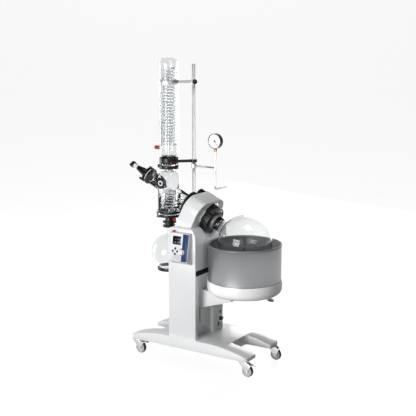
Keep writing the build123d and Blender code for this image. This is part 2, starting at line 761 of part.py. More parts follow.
def collar_lever():
    """The short steel bar that tightens the collar, screwed into its upper lug."""
    bar = Pos(LEVER_PLACE, 0, 0) * rod(LEVER_RADIUS, COLLAR_START - LEVER_LENGTH, COLLAR_START)
    bar = fillet(bar.faces().sort_by(Axis.Z)[0].edges(), LEVER_RADIUS / 2)
    return AXIS * Rot(0, 0, LUG_ANGLE) * bar


def evaporating_flask():
    """The round evaporating flask, its neck ending in a clamped flange."""
    neck_end = COLLAR_FACE - SEAT_GAP
    flask = round_flask(FLASK_RADIUS, FLASK_NECK_RADIUS, neck_end, FLASK_BLEND, FLASK_WALL)
    flange_low = neck_end - FLASK_FLANGE_THICK
    flange = ring(TUBE_FLANGE_RADIUS, FLASK_NECK_RADIUS - FLASK_WALL, flange_low, neck_end)
    return AXIS * (flask + flange)


BATH = Pos(FLASK_X, 0, 0)


def bath_pot():
    """The deep bath pot with a rolled rim."""
    outside = rod(POT_RADIUS, POT_BOTTOM, POT_TOP - POT_RIM)
    outside = fillet(outside.faces().sort_by(Axis.Z)[0].edges(), POT_CORNER)
    inside = rod(POT_RADIUS - POT_WALL, POT_BOTTOM + POT_WALL, POT_TOP)
    inside = fillet(inside.faces().sort_by(Axis.Z)[0].edges(), POT_CORNER - POT_WALL)
    rim = Pos(0, 0, POT_TOP - POT_RIM) * Torus(POT_RADIUS + POT_LIP - POT_RIM, POT_RIM)
    return BATH * (outside - inside + rim)


def bath_skirt():
    """The bath's outer skirt: a rounded pan whose lip closes on the pot."""
    outside = rod(SKIRT_RADIUS, SKIRT_BOTTOM, SKIRT_TOP)
    outside = fillet(outside.faces().sort_by(Axis.Z)[0].edges(), SKIRT_CORNER)
    inside = rod(SKIRT_RADIUS - SKIRT_WALL, SKIRT_BOTTOM + SKIRT_WALL, SKIRT_TOP - SKIRT_WALL)
    inside = fillet(inside.faces().sort_by(Axis.Z)[0].edges(), SKIRT_CORNER - SKIRT_WALL)
    mouth = rod(POT_RADIUS + SEAT_GAP, SKIRT_TOP - SKIRT_WALL, SKIRT_TOP)
    return BATH * (outside - inside - mouth)


def bath_heater():
    """The heater plate under the pot, on feet that stand in the skirt."""
    low = POT_BOTTOM - HEATER_THICK
    plate = ring(HEATER_RADIUS, HEATER_HOLE, low, POT_BOTTOM)
    for turn in range(HEATER_FEET):
        foot = Pos(HEATER_FOOT_CIRCLE, 0, 0) * rod(HEATER_FOOT_RADIUS, SKIRT_BOTTOM + SKIRT_WALL, low)
        plate += Rot(0, 0, turn * 360 / HEATER_FEET) * foot
    return BATH * plate


def bath_carriage():
    """The lift carriage: a tapered arm, a root in the recess and a nut on the lift column."""
    root = RECESS_X + SEAT_GAP
    shoulder = TOWER_RIGHT + TOWER_WALL
    end_low = ARM_ROOT_BOTTOM + ARM_RISE * (ARM_END - shoulder)
    side = Polygon((shoulder, ARM_ROOT_BOTTOM), (ARM_END, end_low), (ARM_END, SKIRT_BOTTOM),
                   (shoulder, SKIRT_BOTTOM), align=None)
    arm = across(side, ARM_FRONT, ARM_BACK)
    arm = fillet(arm.edges().filter_by(Axis.Z), ARM_EDGE)
    arm -= block(shoulder + ARM_WALL, ARM_END - ARM_WALL, ARM_FRONT + ARM_WALL, ARM_BACK - ARM_WALL,
                 0, SKIRT_BOTTOM - ARM_WALL)
    arm += block(root, shoulder + ARM_WALL, ARM_FRONT, ARM_ROOT_BACK, ARM_ROOT_BOTTOM, SKIRT_BOTTOM)
    half_neck = LIFT_NECK / 2
    arm += block(LIFT_X, root, LIFT_Y - half_neck, LIFT_Y + half_neck, ARM_ROOT_BOTTOM, SKIRT_BOTTOM)
    half_nut = LIFT_NUT_SIZE / 2
    arm += block(LIFT_X - half_nut, LIFT_X + half_nut, LIFT_Y - half_nut, LIFT_Y + half_nut,
                 ARM_ROOT_BOTTOM, SKIRT_BOTTOM)
    return arm - Pos(LIFT_X, LIFT_Y, 0) * rod(LIFT_COLUMN_RADIUS + RUN_GAP, 0, 2 * SKIRT_BOTTOM)


def lift_actuator():
    """The lift's gear motor and its upright column, standing on the base."""
    half = LIFT_MOTOR_SIZE / 2
    motor_top = BASE_TOP + LIFT_MOTOR_HEIGHT
    motor = block(-half, half, -half, half, BASE_TOP, motor_top)
    motor = chamfer(motor.edges().filter_by(Axis.Z), half / 4)
    column = rod(LIFT_COLUMN_RADIUS, motor_top, LIFT_COLUMN_TOP)
    return Pos(LIFT_X, LIFT_Y, 0) * (motor + column)


def drain_valve():
    """The bath's drain cock under the skirt."""
    body = Rot(0, 90, 0) * rod(DRAIN_RADIUS, DRAIN_START, DRAIN_END)
    nut_low = (DRAIN_START + DRAIN_END) / 2 + DRAIN_RADIUS
    nut = extrude(RegularPolygon(DRAIN_NUT_RADIUS, 6), DRAIN_RADIUS / 2)
    body += Rot(0, 90, 0) * Pos(0, 0, nut_low) * nut
    body = Pos(0, 0, DRAIN_Z) * body
    body += Pos(DRAIN_X, 0, 0) * rod(DRAIN_RADIUS, DRAIN_Z, SKIRT_BOTTOM)
    stem_end = DRAIN_RADIUS + DRAIN_STEM_LENGTH + DRAIN_LEVER_THICK
    body += Pos(DRAIN_X, 0, DRAIN_Z) * Rot(90, 0, 0) * rod(DRAIN_STEM_RADIUS, 0, stem_end)
    return body - Pos(0, 0, DRAIN_Z) * Rot(0, 90, 0) * rod(DRAIN_BORE, DRAIN_X, DRAIN_END)


def drain_lever():
    """The drain cock's flat lever, turning on the stem."""
    far = DRAIN_LEVER_LENGTH
    lever = extrude(SlotCenterPoint((far / 2, 0), (far, 0), DRAIN_LEVER_WIDTH), DRAIN_LEVER_THICK)
    lever += rod(DRAIN_STEM_RADIUS * 2, 0, DRAIN_LEVER_THICK)
    lever -= rod(DRAIN_STEM_RADIUS + RUN_GAP, 0, DRAIN_LEVER_THICK)
    near = DRAIN_RADIUS + DRAIN_STEM_LENGTH
    return Pos(DRAIN_X, 0, DRAIN_Z) * Rot(90, 0, 0) * Pos(0, 0, near) * lever


PANEL_RUN = BOX_LOW_DEPTH - BOX_TOP_DEPTH
PANEL_RISE = BOX_TOP - BOX_LOW
PANEL_LENGTH = math.hypot(PANEL_RUN, PANEL_RISE)
PANEL_Y = TOWER_FRONT - (BOX_LOW_DEPTH + BOX_TOP_DEPTH) / 2
PANEL = Plane(
    origin=((BOX_LEFT + BOX_RIGHT) / 2, PANEL_Y, (BOX_LOW + BOX_TOP) / 2),
    x_dir=(1, 0, 0),
    z_dir=(0, -PANEL_RISE, PANEL_RUN),
)
STOP_HOME = Pos(STOP_X, STOP_Y, BOX_TOP)


def control_box():
    """The wedge-shaped control box on the tower's front."""
    side = Polyline((TOWER_FRONT, BOX_FOOT), (TOWER_FRONT - BOX_LOW_DEPTH, BOX_LOW),
                    (TOWER_FRONT - BOX_TOP_DEPTH, BOX_TOP), (TOWER_FRONT, BOX_TOP), close=True)
    box = Pos(BOX_LEFT, 0, 0) * extrude(Plane.YZ * face_of(side), BOX_RIGHT - BOX_LEFT, dir=(1, 0, 0))
    front_edges = box.faces().sort_by(Axis.Y)[0].edges().filter_by(Axis.X, reverse=True)
    box = fillet(front_edges, BOX_EDGE)
    depth = KNOB_SHAFT_LENGTH + SEAT_GAP
    box -= PANEL * Pos(KNOB_X, KNOB_UP, 0) * rod(KNOB_SHAFT_RADIUS + RUN_GAP, -depth, 0)
    return box - STOP_HOME * rod(STOP_STEM_RADIUS + RUN_GAP, -STOP_STEM_LENGTH - STOP_TRAVEL - SEAT_GAP, 0)


def panel_face():
    """The face plate, with a window for the display and four raised membrane keys."""
    width = BOX_RIGHT - BOX_LEFT - 2 * (BOX_EDGE + FACE_MARGIN)
    height = PANEL_LENGTH - 2 * FACE_MARGIN
    plate = extrude(RectangleRounded(width, height, BOX_EDGE), FACE_THICK)
    window_width = DISPLAY_WIDTH + 2 * SEAT_GAP
    window = Rectangle(window_width, DISPLAY_HEIGHT + 2 * SEAT_GAP)
    plate -= Pos(DISPLAY_X, DISPLAY_UP, 0) * extrude(window, FACE_THICK)
    plate -= Pos(KNOB_X, KNOB_UP, 0) * rod(KNOB_SHAFT_RADIUS * 2, 0, FACE_THICK)
    key = rod(KEY_RADIUS, 0, FACE_THICK + KEY_HEIGHT)
    key = chamfer(key.faces().sort_by(Axis.Z)[-1].edges(), KEY_HEIGHT / 2)
    for turn in range(KEYS):
        plate += Pos(KEY_X, KEY_UP, 0) * Rot(0, 0, turn * 360 / KEYS) * Pos(KEY_SPREAD, 0, 0) * key
    return PANEL * plate


def panel_display():
    """The display window in the face plate."""
    glass = extrude(Rectangle(DISPLAY_WIDTH, DISPLAY_HEIGHT), DISPLAY_THICK)
    return PANEL * Pos(DISPLAY_X, DISPLAY_UP, 0) * glass


def speed_knob():
    """The flanged speed knob with its shaft in the control box."""
    low = FACE_THICK + SEAT_GAP
    knob = rod(KNOB_FLANGE_RADIUS, low, low + KNOB_FLANGE_THICK)
    knob += rod(KNOB_RADIUS, low, low + KNOB_HEIGHT)
    knob = chamfer(knob.faces().sort_by(Axis.Z)[-1].edges(), KNOB_FLANGE_THICK / 2)
    return PANEL * Pos(KNOB_X, KNOB_UP, 0) * (knob + rod(KNOB_SHAFT_RADIUS, -KNOB_SHAFT_LENGTH, low))


def stop_button():
    """The red mushroom button, standing clear of the box by its travel."""
    low = STOP_TRAVEL + SEAT_GAP
    cap = rod(STOP_RADIUS, low, low + STOP_HEIGHT)
    cap = fillet(cap.faces().sort_by(Axis.Z)[-1].edges(), STOP_HEIGHT / 2)
    return STOP_HOME * (cap + rod(STOP_STEM_RADIUS, -STOP_STEM_LENGTH, low))


def support_rod():
    """The upright rod, with its welded foot on the tower's side."""
    pole = chamfer_ends(rod(ROD_RADIUS, ROD_BOTTOM, ROD_TOP), Axis.Z, ROD_RADIUS / 6)
    pole = Pos(ROD_X, ROD_Y, 0) * pole
    foot = block(ROD_X - FOOT_HALF, TOWER_LEFT, ROD_Y - FOOT_HALF, ROD_Y + FOOT_HALF, FOOT_LOW, FOOT_HIGH)
    foot = fillet(foot.edges().filter_by(Axis.Z).group_by(Axis.X)[0], FOOT_HALF / 3)
    return pole + foot


ROD_DISTANCE = math.hypot(ROD_X - TOWER_GLASS_X, ROD_Y)
ROD_BEARING = math.degrees(math.atan2(ROD_Y, ROD_X - TOWER_GLASS_X))
ROD_ARM = GLASS_STAND * Rot(0, 0, ROD_BEARING)


def rod_hub(low, high):
    """A clamp hub round the support rod, solid until the rod is cut from it."""
    return Pos(ROD_DISTANCE, 0, 0) * rod(CLAMP_HUB_RADIUS, low, high)


def rod_hole(low, high):
    """The hole that the support rod needs in a hub."""
    return Pos(ROD_DISTANCE, 0, 0) * rod(ROD_RADIUS + SEAT_GAP, low, high)


CLAMP_KNOB_PLACE = ROD_ARM * Pos(ROD_DISTANCE, 0, CLAMP_Z) * Rot(90, 0, 0)


def condenser_clamp():
    """The clamp band round the condenser, with its arm and hub on the rod."""
    low = CLAMP_Z - CLAMP_HEIGHT / 2
    high = CLAMP_Z + CLAMP_HEIGHT / 2
    inner = JACKET_RADIUS + SEAT_GAP
    half_arm = CLAMP_ARM / 2
    clamp = rod(inner + CLAMP_WALL, low, high)
    clamp += block(0, ROD_DISTANCE, -half_arm, half_arm, CLAMP_Z - half_arm, CLAMP_Z + half_arm)
    clamp += rod_hub(low, high)
    clamp -= rod(inner, low, high)
    clamp -= rod_hole(low, high)
    clamp = ROD_ARM * clamp
    return clamp - CLAMP_KNOB_PLACE * rod(CLAMP_STUD_RADIUS + RUN_GAP, 0, 2 * CLAMP_HUB_RADIUS)


def clamp_knob():
    """The lobed screw knob of the condenser clamp."""
    low = CLAMP_HUB_RADIUS + SEAT_GAP
    knob = rod(CLAMP_KNOB_RADIUS, low, low + CLAMP_KNOB_HEIGHT)
    knob = chamfer_ends(knob, Axis.Z, CLAMP_KNOB_RADIUS / 8)
    for turn in range(CLAMP_KNOB_LOBES):
        scallop = Pos(CLAMP_KNOB_RADIUS * 1.2, 0, 0) * rod(CLAMP_KNOB_RADIUS / 3, low, low + CLAMP_KNOB_HEIGHT)
        knob -= Rot(0, 0, turn * 360 / CLAMP_KNOB_LOBES) * scallop
    return CLAMP_KNOB_PLACE * (knob + rod(CLAMP_STUD_RADIUS, ROD_RADIUS + SEAT_GAP, low))


def condenser_jacket():
    """The condenser's glass jacket, its foot neck and flange, and the vent port on its left."""
    def skin(inset):
        body = rod(JACKET_RADIUS - inset, JACKET_BOTTOM + inset, JACKET_TOP - inset)
        ends = [body.faces().sort_by(Axis.Z)[0], body.faces().sort_by(Axis.Z)[-1]]
        return fillet([end.edge() for end in ends], JACKET_CORNER - inset)

    low = JOINT_Z + SEAT_GAP / 2
    vent_end = JACKET_RADIUS + VENT_LENGTH
    left = Pos(0, 0, VENT_Z) * Rot(0, -90, 0)
    jacket = skin(0) + rod(JACKET_NECK_RADIUS, low, JACKET_BOTTOM + JACKET_WALL)
    jacket += rod(GLASS_FLANGE_RADIUS, low, low + GLASS_FLANGE_THICK)
    jacket += left * rod(VENT_RADIUS, JACKET_RADIUS - 2 * JACKET_WALL, vent_end)
    jacket -= skin(JACKET_WALL)
    jacket -= rod(JACKET_NECK_RADIUS - JACKET_WALL, low, JACKET_BOTTOM + JACKET_CORNER)
    return GLASS_STAND * (jacket - left * rod(VENT_BORE, JACKET_RADIUS - 2 * JACKET_WALL, vent_end))


def vent_knob():
    """The vent valve's red knob, its stem in the vent port."""
    face = JACKET_RADIUS + VENT_LENGTH
    low = face + SEAT_GAP
    knob = rod(VENT_KNOB_RADIUS, low, low + VENT_KNOB_LENGTH)
    knob = chamfer_ends(knob, Axis.Z, VENT_KNOB_RADIUS / 6)
    knob += rod(VENT_BORE - RUN_GAP, face - VENT_STEM, low)
    return GLASS_STAND * Pos(0, 0, VENT_Z) * Rot(0, -90, 0) * knob


def coil_tube(points):
    """A cooling tube with a six-sided section along straight runs."""
    path = Polyline(*points)
    start = Plane(origin=path @ 0, z_dir=path % 0)
    return sweep(start * RegularPolygon(COIL_TUBE, 6), path=path, transition=Transition.RIGHT)


def coil_points(radius, pitch, turns, low):
    """Points along a helix about Z."""
    points = []
    for step in range(round(turns * COIL_STEPS) + 1):
        angle = 2 * math.pi * step / COIL_STEPS
        points.append((radius * math.cos(angle), radius * math.sin(angle), low + pitch * step / COIL_STEPS))
    return points


def cooling_coils():
    """Both coils: the tall one returns down its middle, the short one stands on the base plate."""
    tall = coil_points(COIL_RADIUS, COIL_PITCH, COIL_TURNS, COIL_BOTTOM)
    inlet = (JACKET_RADIUS - JACKET_WALL - 2 * SEAT_GAP, 0, COIL_BOTTOM)
    top = COIL_BOTTOM + COIL_PITCH * COIL_TURNS
    back_down = [(0, 0, top), (0, 0, JACKET_BOTTOM)]
    short = coil_points(LOWER_COIL_RADIUS, LOWER_COIL_PITCH, LOWER_COIL_TURNS, LOWER_COIL_BOTTOM)
    leg = (LOWER_COIL_RADIUS, 0, VESSEL_BOTTOM + SEAT_GAP)
    end = LOWER_COIL_BOTTOM + LOWER_COIL_PITCH * LOWER_COIL_TURNS
    other_leg = [(0, 0, end), (0, 0, VESSEL_BOTTOM + SEAT_GAP)]
    upper = coil_tube([inlet] + tall + back_down)
    lower = coil_tube([leg] + short + other_leg)
    return [GLASS_STAND * upper, GLASS_STAND * lower]


UPPER_RING_LOW = JOINT_Z + SEAT_GAP / 2 + GLASS_FLANGE_THICK + SEAT_GAP


def condenser_flange():
    """The cupped ring under the condenser with its arm and hub on the rod."""
    high = UPPER_RING_LOW + UPPER_RING_HEIGHT
    half_arm = CLAMP_ARM / 2
    cup = rod(UPPER_RING_RADIUS, UPPER_RING_LOW, high + UPPER_RING_RIM)
    cup -= rod(UPPER_RING_RADIUS - UPPER_RING_WALL, high, high + UPPER_RING_RIM)
    arm_low = high - CLAMP_ARM
    cup += block(0, ROD_DISTANCE, -half_arm, half_arm, arm_low, high)
    cup += rod_hub(UPPER_RING_LOW, high)
    cup -= rod(JACKET_NECK_RADIUS + SEAT_GAP, UPPER_RING_LOW, high)
    return ROD_ARM * (cup - rod_hole(UPPER_RING_LOW, high))


PORT_HOME = GLASS_STAND * Pos(0, 0, PORT_Z) * Rot(90, 0, 0)


def glass_manifold():
    """The vapour manifold: an upright vessel crossed by the slanted tube, with a port on its front."""
    neck_top = JOINT_Z - SEAT_GAP / 2
    wall = VESSEL_WALL

    def vessel(inset):
        body = rod(VESSEL_RADIUS - inset, VESSEL_BOTTOM, VESSEL_TOP - inset)
        shoulder = body.faces().sort_by(Axis.Z)[-1].edges()
        body = fillet(shoulder, VESSEL_SHOULDER - inset)
        return GLASS_STAND * (body + rod(MANIFOLD_NECK_RADIUS - inset, VESSEL_BOTTOM, neck_top))

    def crossing(inset):
        port = PORT_HOME * rod(PORT_RADIUS - inset, 0, VESSEL_RADIUS + PORT_REACH)
        return AXIS * rod(CROSS_RADIUS - inset, CROSS_START, CROSS_END) + port

    flange_high = VESSEL_BOTTOM + VESSEL_FLANGE_THICK
    glass = vessel(0) + crossing(0)
    glass += GLASS_STAND * rod(VESSEL_FLANGE_RADIUS, VESSEL_BOTTOM, flange_high)
    glass += GLASS_STAND * rod(GLASS_FLANGE_RADIUS, neck_top - GLASS_FLANGE_THICK, neck_top)
    glass += AXIS * rod(CROSS_FLANGE_RADIUS, CROSS_END - CROSS_FLANGE_THICK, CROSS_END)
    return glass - vessel(wall) - crossing(CROSS_WALL)


def port_cap():
    """The screw cap of the manifold's port."""
    mouth = VESSEL_RADIUS + PORT_REACH
    low = mouth - CAP_OVERLAP
    cap = rod(CAP_RADIUS, low, low + CAP_LENGTH)
    cap = chamfer(cap.faces().sort_by(Axis.Z)[-1].edges(), CAP_EDGE)
    return PORT_HOME * (cap - rod(PORT_RADIUS + SEAT_GAP, low, mouth + SEAT_GAP))


def manifold_flanges():
    """The ring under the neck joint, and the plate and ring that close the vessel's foot."""
    neck_high = JOINT_Z - SEAT_GAP / 2 - GLASS_FLANGE_THICK - SEAT_GAP
    neck_low = neck_high - NECK_RING_HEIGHT
    neck = rod(UPPER_RING_RADIUS, neck_low, neck_high)
    half_ear = RING_EAR_WIDTH / 2
    neck += block(-RING_EAR_REACH, 0, -half_ear, half_ear, neck_low, neck_high)
    neck -= rod(MANIFOLD_NECK_RADIUS + SEAT_GAP, neck_low, neck_high)
    plate_high = VESSEL_BOTTOM - SEAT_GAP
    plate_low = plate_high - BASE_PLATE_THICK
    plate = ring(BASE_RING_RADIUS, OUTLET_RADIUS, plate_low, plate_high)
    for side in (-1, 1):
        ear = block(0, BASE_EAR_REACH, -half_ear, half_ear, plate_low - BASE_EAR_DROP, plate_high)
        ear -= rod(BASE_RING_RADIUS - half_ear, 0, 2 * VESSEL_BOTTOM)
        plate += Rot(0, 0, 90 + 90 * side) * ear
    ring_low = VESSEL_BOTTOM + VESSEL_FLANGE_THICK + SEAT_GAP
    clamp = ring(BASE_RING_RADIUS, VESSEL_RADIUS + SEAT_GAP, ring_low, ring_low + BASE_RING_HEIGHT)
    return [GLASS_STAND * neck, GLASS_STAND * plate, GLASS_STAND * clamp]


VALVE_TOP = VESSEL_BOTTOM - SEAT_GAP - BASE_PLATE_THICK
VALVE_STEM_PLACE = GLASS_STAND * Pos(0, 0, VALVE_STEM_Z) * Rot(0, 90, 0)


def receiver_valve():
    """The black outlet valve between the manifold and the receiving flask."""
    valve = rod(VALVE_RADIUS, VALVE_BOTTOM, VALVE_TOP)
    for low in (VALVE_DISC_LOW, VALVE_DISC_HIGH):
        disc = rod(VALVE_DISC_RADIUS, low, low + VALVE_DISC_THICK)
        valve += chamfer_ends(disc, Axis.Z, VALVE_DISC_THICK / 6)
    valve -= rod(OUTLET_RADIUS, VALVE_BOTTOM, VALVE_TOP)
    valve = GLASS_STAND * valve
    return valve - VALVE_STEM_PLACE * rod(VALVE_STEM_RADIUS + RUN_GAP, 0, 2 * VALVE_RADIUS)


def receiver_knob():
    """The red knob of the outlet valve."""
    low = VALVE_RADIUS + SEAT_GAP
    knob = chamfer_ends(rod(VALVE_KNOB_RADIUS, low, low + VALVE_KNOB_LENGTH), Axis.Z, VALVE_KNOB_RADIUS / 6)
    return VALVE_STEM_PLACE * (knob + rod(VALVE_STEM_RADIUS, VALVE_RADIUS - VALVE_STEM_DEPTH, low))


def receiver_flask():
    """The round receiving flask, its neck ending under the valve."""
    neck = VALVE_BOTTOM - SEAT_GAP - RECEIVER_Z
    flask = round_flask(RECEIVER_RADIUS, RECEIVER_NECK_RADIUS, neck, RECEIVER_BLEND, RECEIVER_WALL)
    return Pos(TOWER_GLASS_X, 0, RECEIVER_Z) * flask


def receiver_cradle():
    """The ring that carries the receiving flask, with its arm and foot on the tower's side."""
    contact = CRADLE_RADIUS - CRADLE_WALL
    top = RECEIVER_Z - math.sqrt(RECEIVER_RADIUS ** 2 - contact ** 2) - SEAT_GAP
    low = top - CRADLE_HEIGHT
    reach = TOWER_LEFT - TOWER_GLASS_X
    half_arm = CRADLE_ARM / 2
    half_foot = CRADLE_FOOT / 2
    middle = (low + top) / 2
    cradle = rod(CRADLE_RADIUS, low, top)
    cradle += block(0, reach, -half_arm, half_arm, low, top)
    cradle += block(reach - CRADLE_FOOT_THICK, reach, -half_foot, half_foot,
                    middle - half_foot, middle + half_foot)
    return GLASS_STAND * (cradle - rod(contact, low, top))


FEED_FACE = CROSS_END + SEAT_GAP


def feed_flange():
    """The pair of bolted rings that hold the feed valve on the slanted tube."""
    back_high = CROSS_END - CROSS_FLANGE_THICK - SEAT_GAP
    back = ring(FEED_RING_RADIUS, CROSS_RADIUS + SEAT_GAP, back_high - FEED_RING_THICK, back_high)
    disc_high = FEED_FACE + FEED_DISC_THICK + SEAT_GAP
    front = rod(FEED_RING_RADIUS, disc_high, disc_high + FEED_RING_THICK)
    bolt = rod(FEED_BOLT_RADIUS, disc_high, disc_high + FEED_BOLT_LENGTH)
    bolt = chamfer(bolt.faces().sort_by(Axis.Z)[-1].edges(), FEED_BOLT_RADIUS / 5)
    for turn in range(FEED_BOLTS):
        front += Rot(0, 0, FEED_BOLT_TURN + turn * 360 / FEED_BOLTS) * Pos(FEED_BOLT_CIRCLE, 0, 0) * bolt
    front -= rod(FEED_BODY_RADIUS + SEAT_GAP, disc_high, disc_high + FEED_RING_THICK)
    return [AXIS * back, AXIS * front]


def feed_valve():
    """The feed valve: a disc on the glass and a body that tapers to a neck."""
    end = FEED_FACE + FEED_BODY_LENGTH
    waist = end - FEED_STEM_DEPTH
    profile = Polygon((0, FEED_FACE), (CROSS_FLANGE_RADIUS, FEED_FACE),
                      (CROSS_FLANGE_RADIUS, FEED_FACE + FEED_DISC_THICK),
                      (FEED_BODY_RADIUS, FEED_FACE + FEED_DISC_THICK),
                      (FEED_BODY_RADIUS, (FEED_FACE + waist) / 2), (FEED_BODY_TAPER, waist),
                      (FEED_BODY_TAPER, end), (0, end), align=None)
    body = revolve(Plane.XZ * profile, Axis.Z)
    return AXIS * (body - rod(FEED_STEM_RADIUS + RUN_GAP, waist, end))


def feed_knob():
    """The winged knob of the feed valve."""
    low = FEED_FACE + FEED_BODY_LENGTH + SEAT_GAP
    high = low + FEED_KNOB_LENGTH
    knob = chamfer_ends(rod(FEED_KNOB_RADIUS, low, high), Axis.Z, FEED_KNOB_RADIUS / 8)
    half_wing = FEED_WING_THICK / 2
    wing = block(-FEED_WING_REACH, FEED_WING_REACH, -half_wing, half_wing, low, high)
    knob += fillet(wing.edges().filter_by(Axis.Y), FEED_WING_THICK / 2)
    return AXIS * (knob + rod(FEED_STEM_RADIUS, low - FEED_STEM_DEPTH, low))


GAUGE_PLACE = Pos(GAUGE_X, ROD_Y, GAUGE_Z) * Rot(90, 0, 0)


def gauge_case():
    """The round gauge case with a bezel, a sunk dial and the needle's pin."""
    half = GAUGE_DEPTH / 2
    case = rod(GAUGE_RADIUS, -half, half)
    case = chamfer_ends(case, Axis.Z, GAUGE_BEZEL / 2)
    case -= rod(GAUGE_RADIUS - GAUGE_BEZEL, half - GAUGE_RECESS, half)
    case += rod(GAUGE_PIN_RADIUS, half - GAUGE_RECESS, half - GAUGE_BEZEL / 2)
    return GAUGE_PLACE * case


def gauge_needle():
    """The pointer, at rest at the right-hand end of its scale."""
    low = GAUGE_DEPTH / 2 - GAUGE_RECESS + SEAT_GAP
    half = NEEDLE_WIDTH / 2
    pointer = Polygon((-NEEDLE_TAIL, -half), (NEEDLE_LENGTH, -half / 4), (NEEDLE_LENGTH, half / 4),
                      (-NEEDLE_TAIL, half), align=None)
    needle = extrude(pointer, NEEDLE_THICK) + rod(NEEDLE_HUB_RADIUS, 0, 2 * NEEDLE_THICK)
    needle -= rod(GAUGE_PIN_RADIUS + RUN_GAP, 0, 2 * NEEDLE_THICK)
    return GAUGE_PLACE * Rot(0, 0, NEEDLE_ANGLE) * Pos(0, 0, low) * needle


def gauge_stand():
    """The vacuum pipe under the gauge, its nut, its arm from the rod and the hose nipple behind."""
    top = GAUGE_Z - GAUGE_RADIUS - SEAT_GAP
    bend_z = PIPE_LOW + PIPE_BEND
    shoulder = NIPPLE_END - NIPPLE_LENGTH - ROD_Y
    pipe = rod(PIPE_RADIUS, bend_z, top)
    bend_axis = Axis((0, PIPE_BEND, bend_z), (1, 0, 0))
    pipe += revolve(Pos(0, 0, bend_z) * Circle(PIPE_RADIUS), bend_axis, revolution_arc=90)
    back = Pos(0, 0, PIPE_LOW) * Rot(-90, 0, 0)
    pipe += back * rod(PIPE_RADIUS, PIPE_BEND, shoulder)
    pipe += back * rod(NIPPLE_RADIUS, shoulder, NIPPLE_END - ROD_Y)
    nut = extrude(RegularPolygon(GAUGE_NUT_RADIUS, 6), GAUGE_NUT_HEIGHT)
    pipe += Pos(0, 0, top - GAUGE_NUT_HEIGHT) * nut
    reach = GAUGE_X - ROD_X
    pipe += Pos(0, 0, GAUGE_ARM_Z) * Rot(0, -90, 0) * rod(GAUGE_ARM_RADIUS, 0, reach)
    half_hub = GAUGE_HUB_HEIGHT / 2
    pipe += Pos(-reach, 0, GAUGE_ARM_Z) * rod(CLAMP_HUB_RADIUS, -half_hub, half_hub)
    pipe -= Pos(-reach, 0, GAUGE_ARM_Z) * rod(ROD_RADIUS + SEAT_GAP, -half_hub, half_hub)
    return Pos(GAUGE_X, ROD_Y, 0) * pipe


def all_parts():
    """Every node of the part, by name."""
    makers = [
        base_frame, tower_shell, rear_cover, service_box, main_switch, power_switch,
        head_housing, tube_bearings, seal_collar, drive_motor, motor_pulley, rotary_tube, drive_belt,
        flask_collar, collar_lever, evaporating_flask,
        bath_pot, bath_skirt, bath_heater, bath_carriage, lift_actuator, drain_valve, drain_lever,
        control_box, panel_face, panel_display, speed_knob, stop_button,
        support_rod, condenser_clamp, clamp_knob, condenser_jacket, vent_knob, cooling_coils,
        condenser_flange, glass_manifold, port_cap, manifold_flanges,
        receiver_valve, receiver_knob, receiver_flask, receiver_cradle,
        feed_flange, feed_valve, feed_knob, gauge_case, gauge_needle, gauge_stand,
    ]
    parts = {maker.__name__: maker() for maker in makers}
    for corner, (x, y) in caster_places().items():
        for maker in (caster_fork, caster_wheel, caster_pedal):
            parts[f"{maker.__name__}_{corner}"] = Pos(x, y, 0) * maker()
    return parts


os.makedirs("parts", exist_ok=True)
for name, shape in all_parts().items():
    whole = Compound(shape) if isinstance(shape, list) else shape
    export_step(whole, f"parts/{name}.step")
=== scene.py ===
import json
import math

import bmesh
import bpy
from mathutils import Matrix, Vector

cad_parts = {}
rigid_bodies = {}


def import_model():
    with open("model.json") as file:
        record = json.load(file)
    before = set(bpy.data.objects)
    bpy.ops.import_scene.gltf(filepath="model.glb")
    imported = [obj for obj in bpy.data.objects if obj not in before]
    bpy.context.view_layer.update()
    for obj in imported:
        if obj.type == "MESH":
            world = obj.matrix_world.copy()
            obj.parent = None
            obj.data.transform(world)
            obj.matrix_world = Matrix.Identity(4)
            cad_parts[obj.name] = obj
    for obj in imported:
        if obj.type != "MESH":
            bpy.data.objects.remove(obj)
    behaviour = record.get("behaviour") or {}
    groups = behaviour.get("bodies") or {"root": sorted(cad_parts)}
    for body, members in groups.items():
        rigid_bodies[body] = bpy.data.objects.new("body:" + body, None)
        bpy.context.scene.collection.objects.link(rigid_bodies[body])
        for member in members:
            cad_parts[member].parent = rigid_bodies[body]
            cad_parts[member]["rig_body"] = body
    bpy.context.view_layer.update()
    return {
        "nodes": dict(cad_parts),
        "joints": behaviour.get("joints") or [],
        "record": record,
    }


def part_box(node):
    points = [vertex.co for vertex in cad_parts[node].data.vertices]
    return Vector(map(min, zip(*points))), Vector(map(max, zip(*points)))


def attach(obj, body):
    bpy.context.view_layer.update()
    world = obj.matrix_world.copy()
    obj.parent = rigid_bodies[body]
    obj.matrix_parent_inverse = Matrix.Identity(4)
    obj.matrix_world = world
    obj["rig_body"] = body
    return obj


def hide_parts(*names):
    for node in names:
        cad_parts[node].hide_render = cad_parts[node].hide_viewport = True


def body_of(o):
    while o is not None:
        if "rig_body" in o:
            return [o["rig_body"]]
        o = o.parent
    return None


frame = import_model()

# All lengths are metres. Angles are degrees where nothing else is said. The floor is Z = 0.

NODES = frame["nodes"]
JOINTS = {joint["name"]: joint for joint in frame["joints"]}
SLOTS = {part["node"]: part["material_slot"] for part in frame["record"]["subparts"]}

# Directions of the frame
RIGHT = Vector((1, 0, 0))
LEFT = Vector((-1, 0, 0))
FRONT = Vector((0, -1, 0))
BACK = Vector((0, 1, 0))
UP = Vector((0, 0, 1))

# Where the photograph was taken from
CAMERA_PLACE = Vector((3.337, -5.100, 2.197))
CAMERA_AZIMUTH = 32.8
CAMERA_ELEVATION = 11.0
CAMERA_LENS = 81.6
CAMERA_SENSOR = 36.0
CAMERA_REACH = 100.0

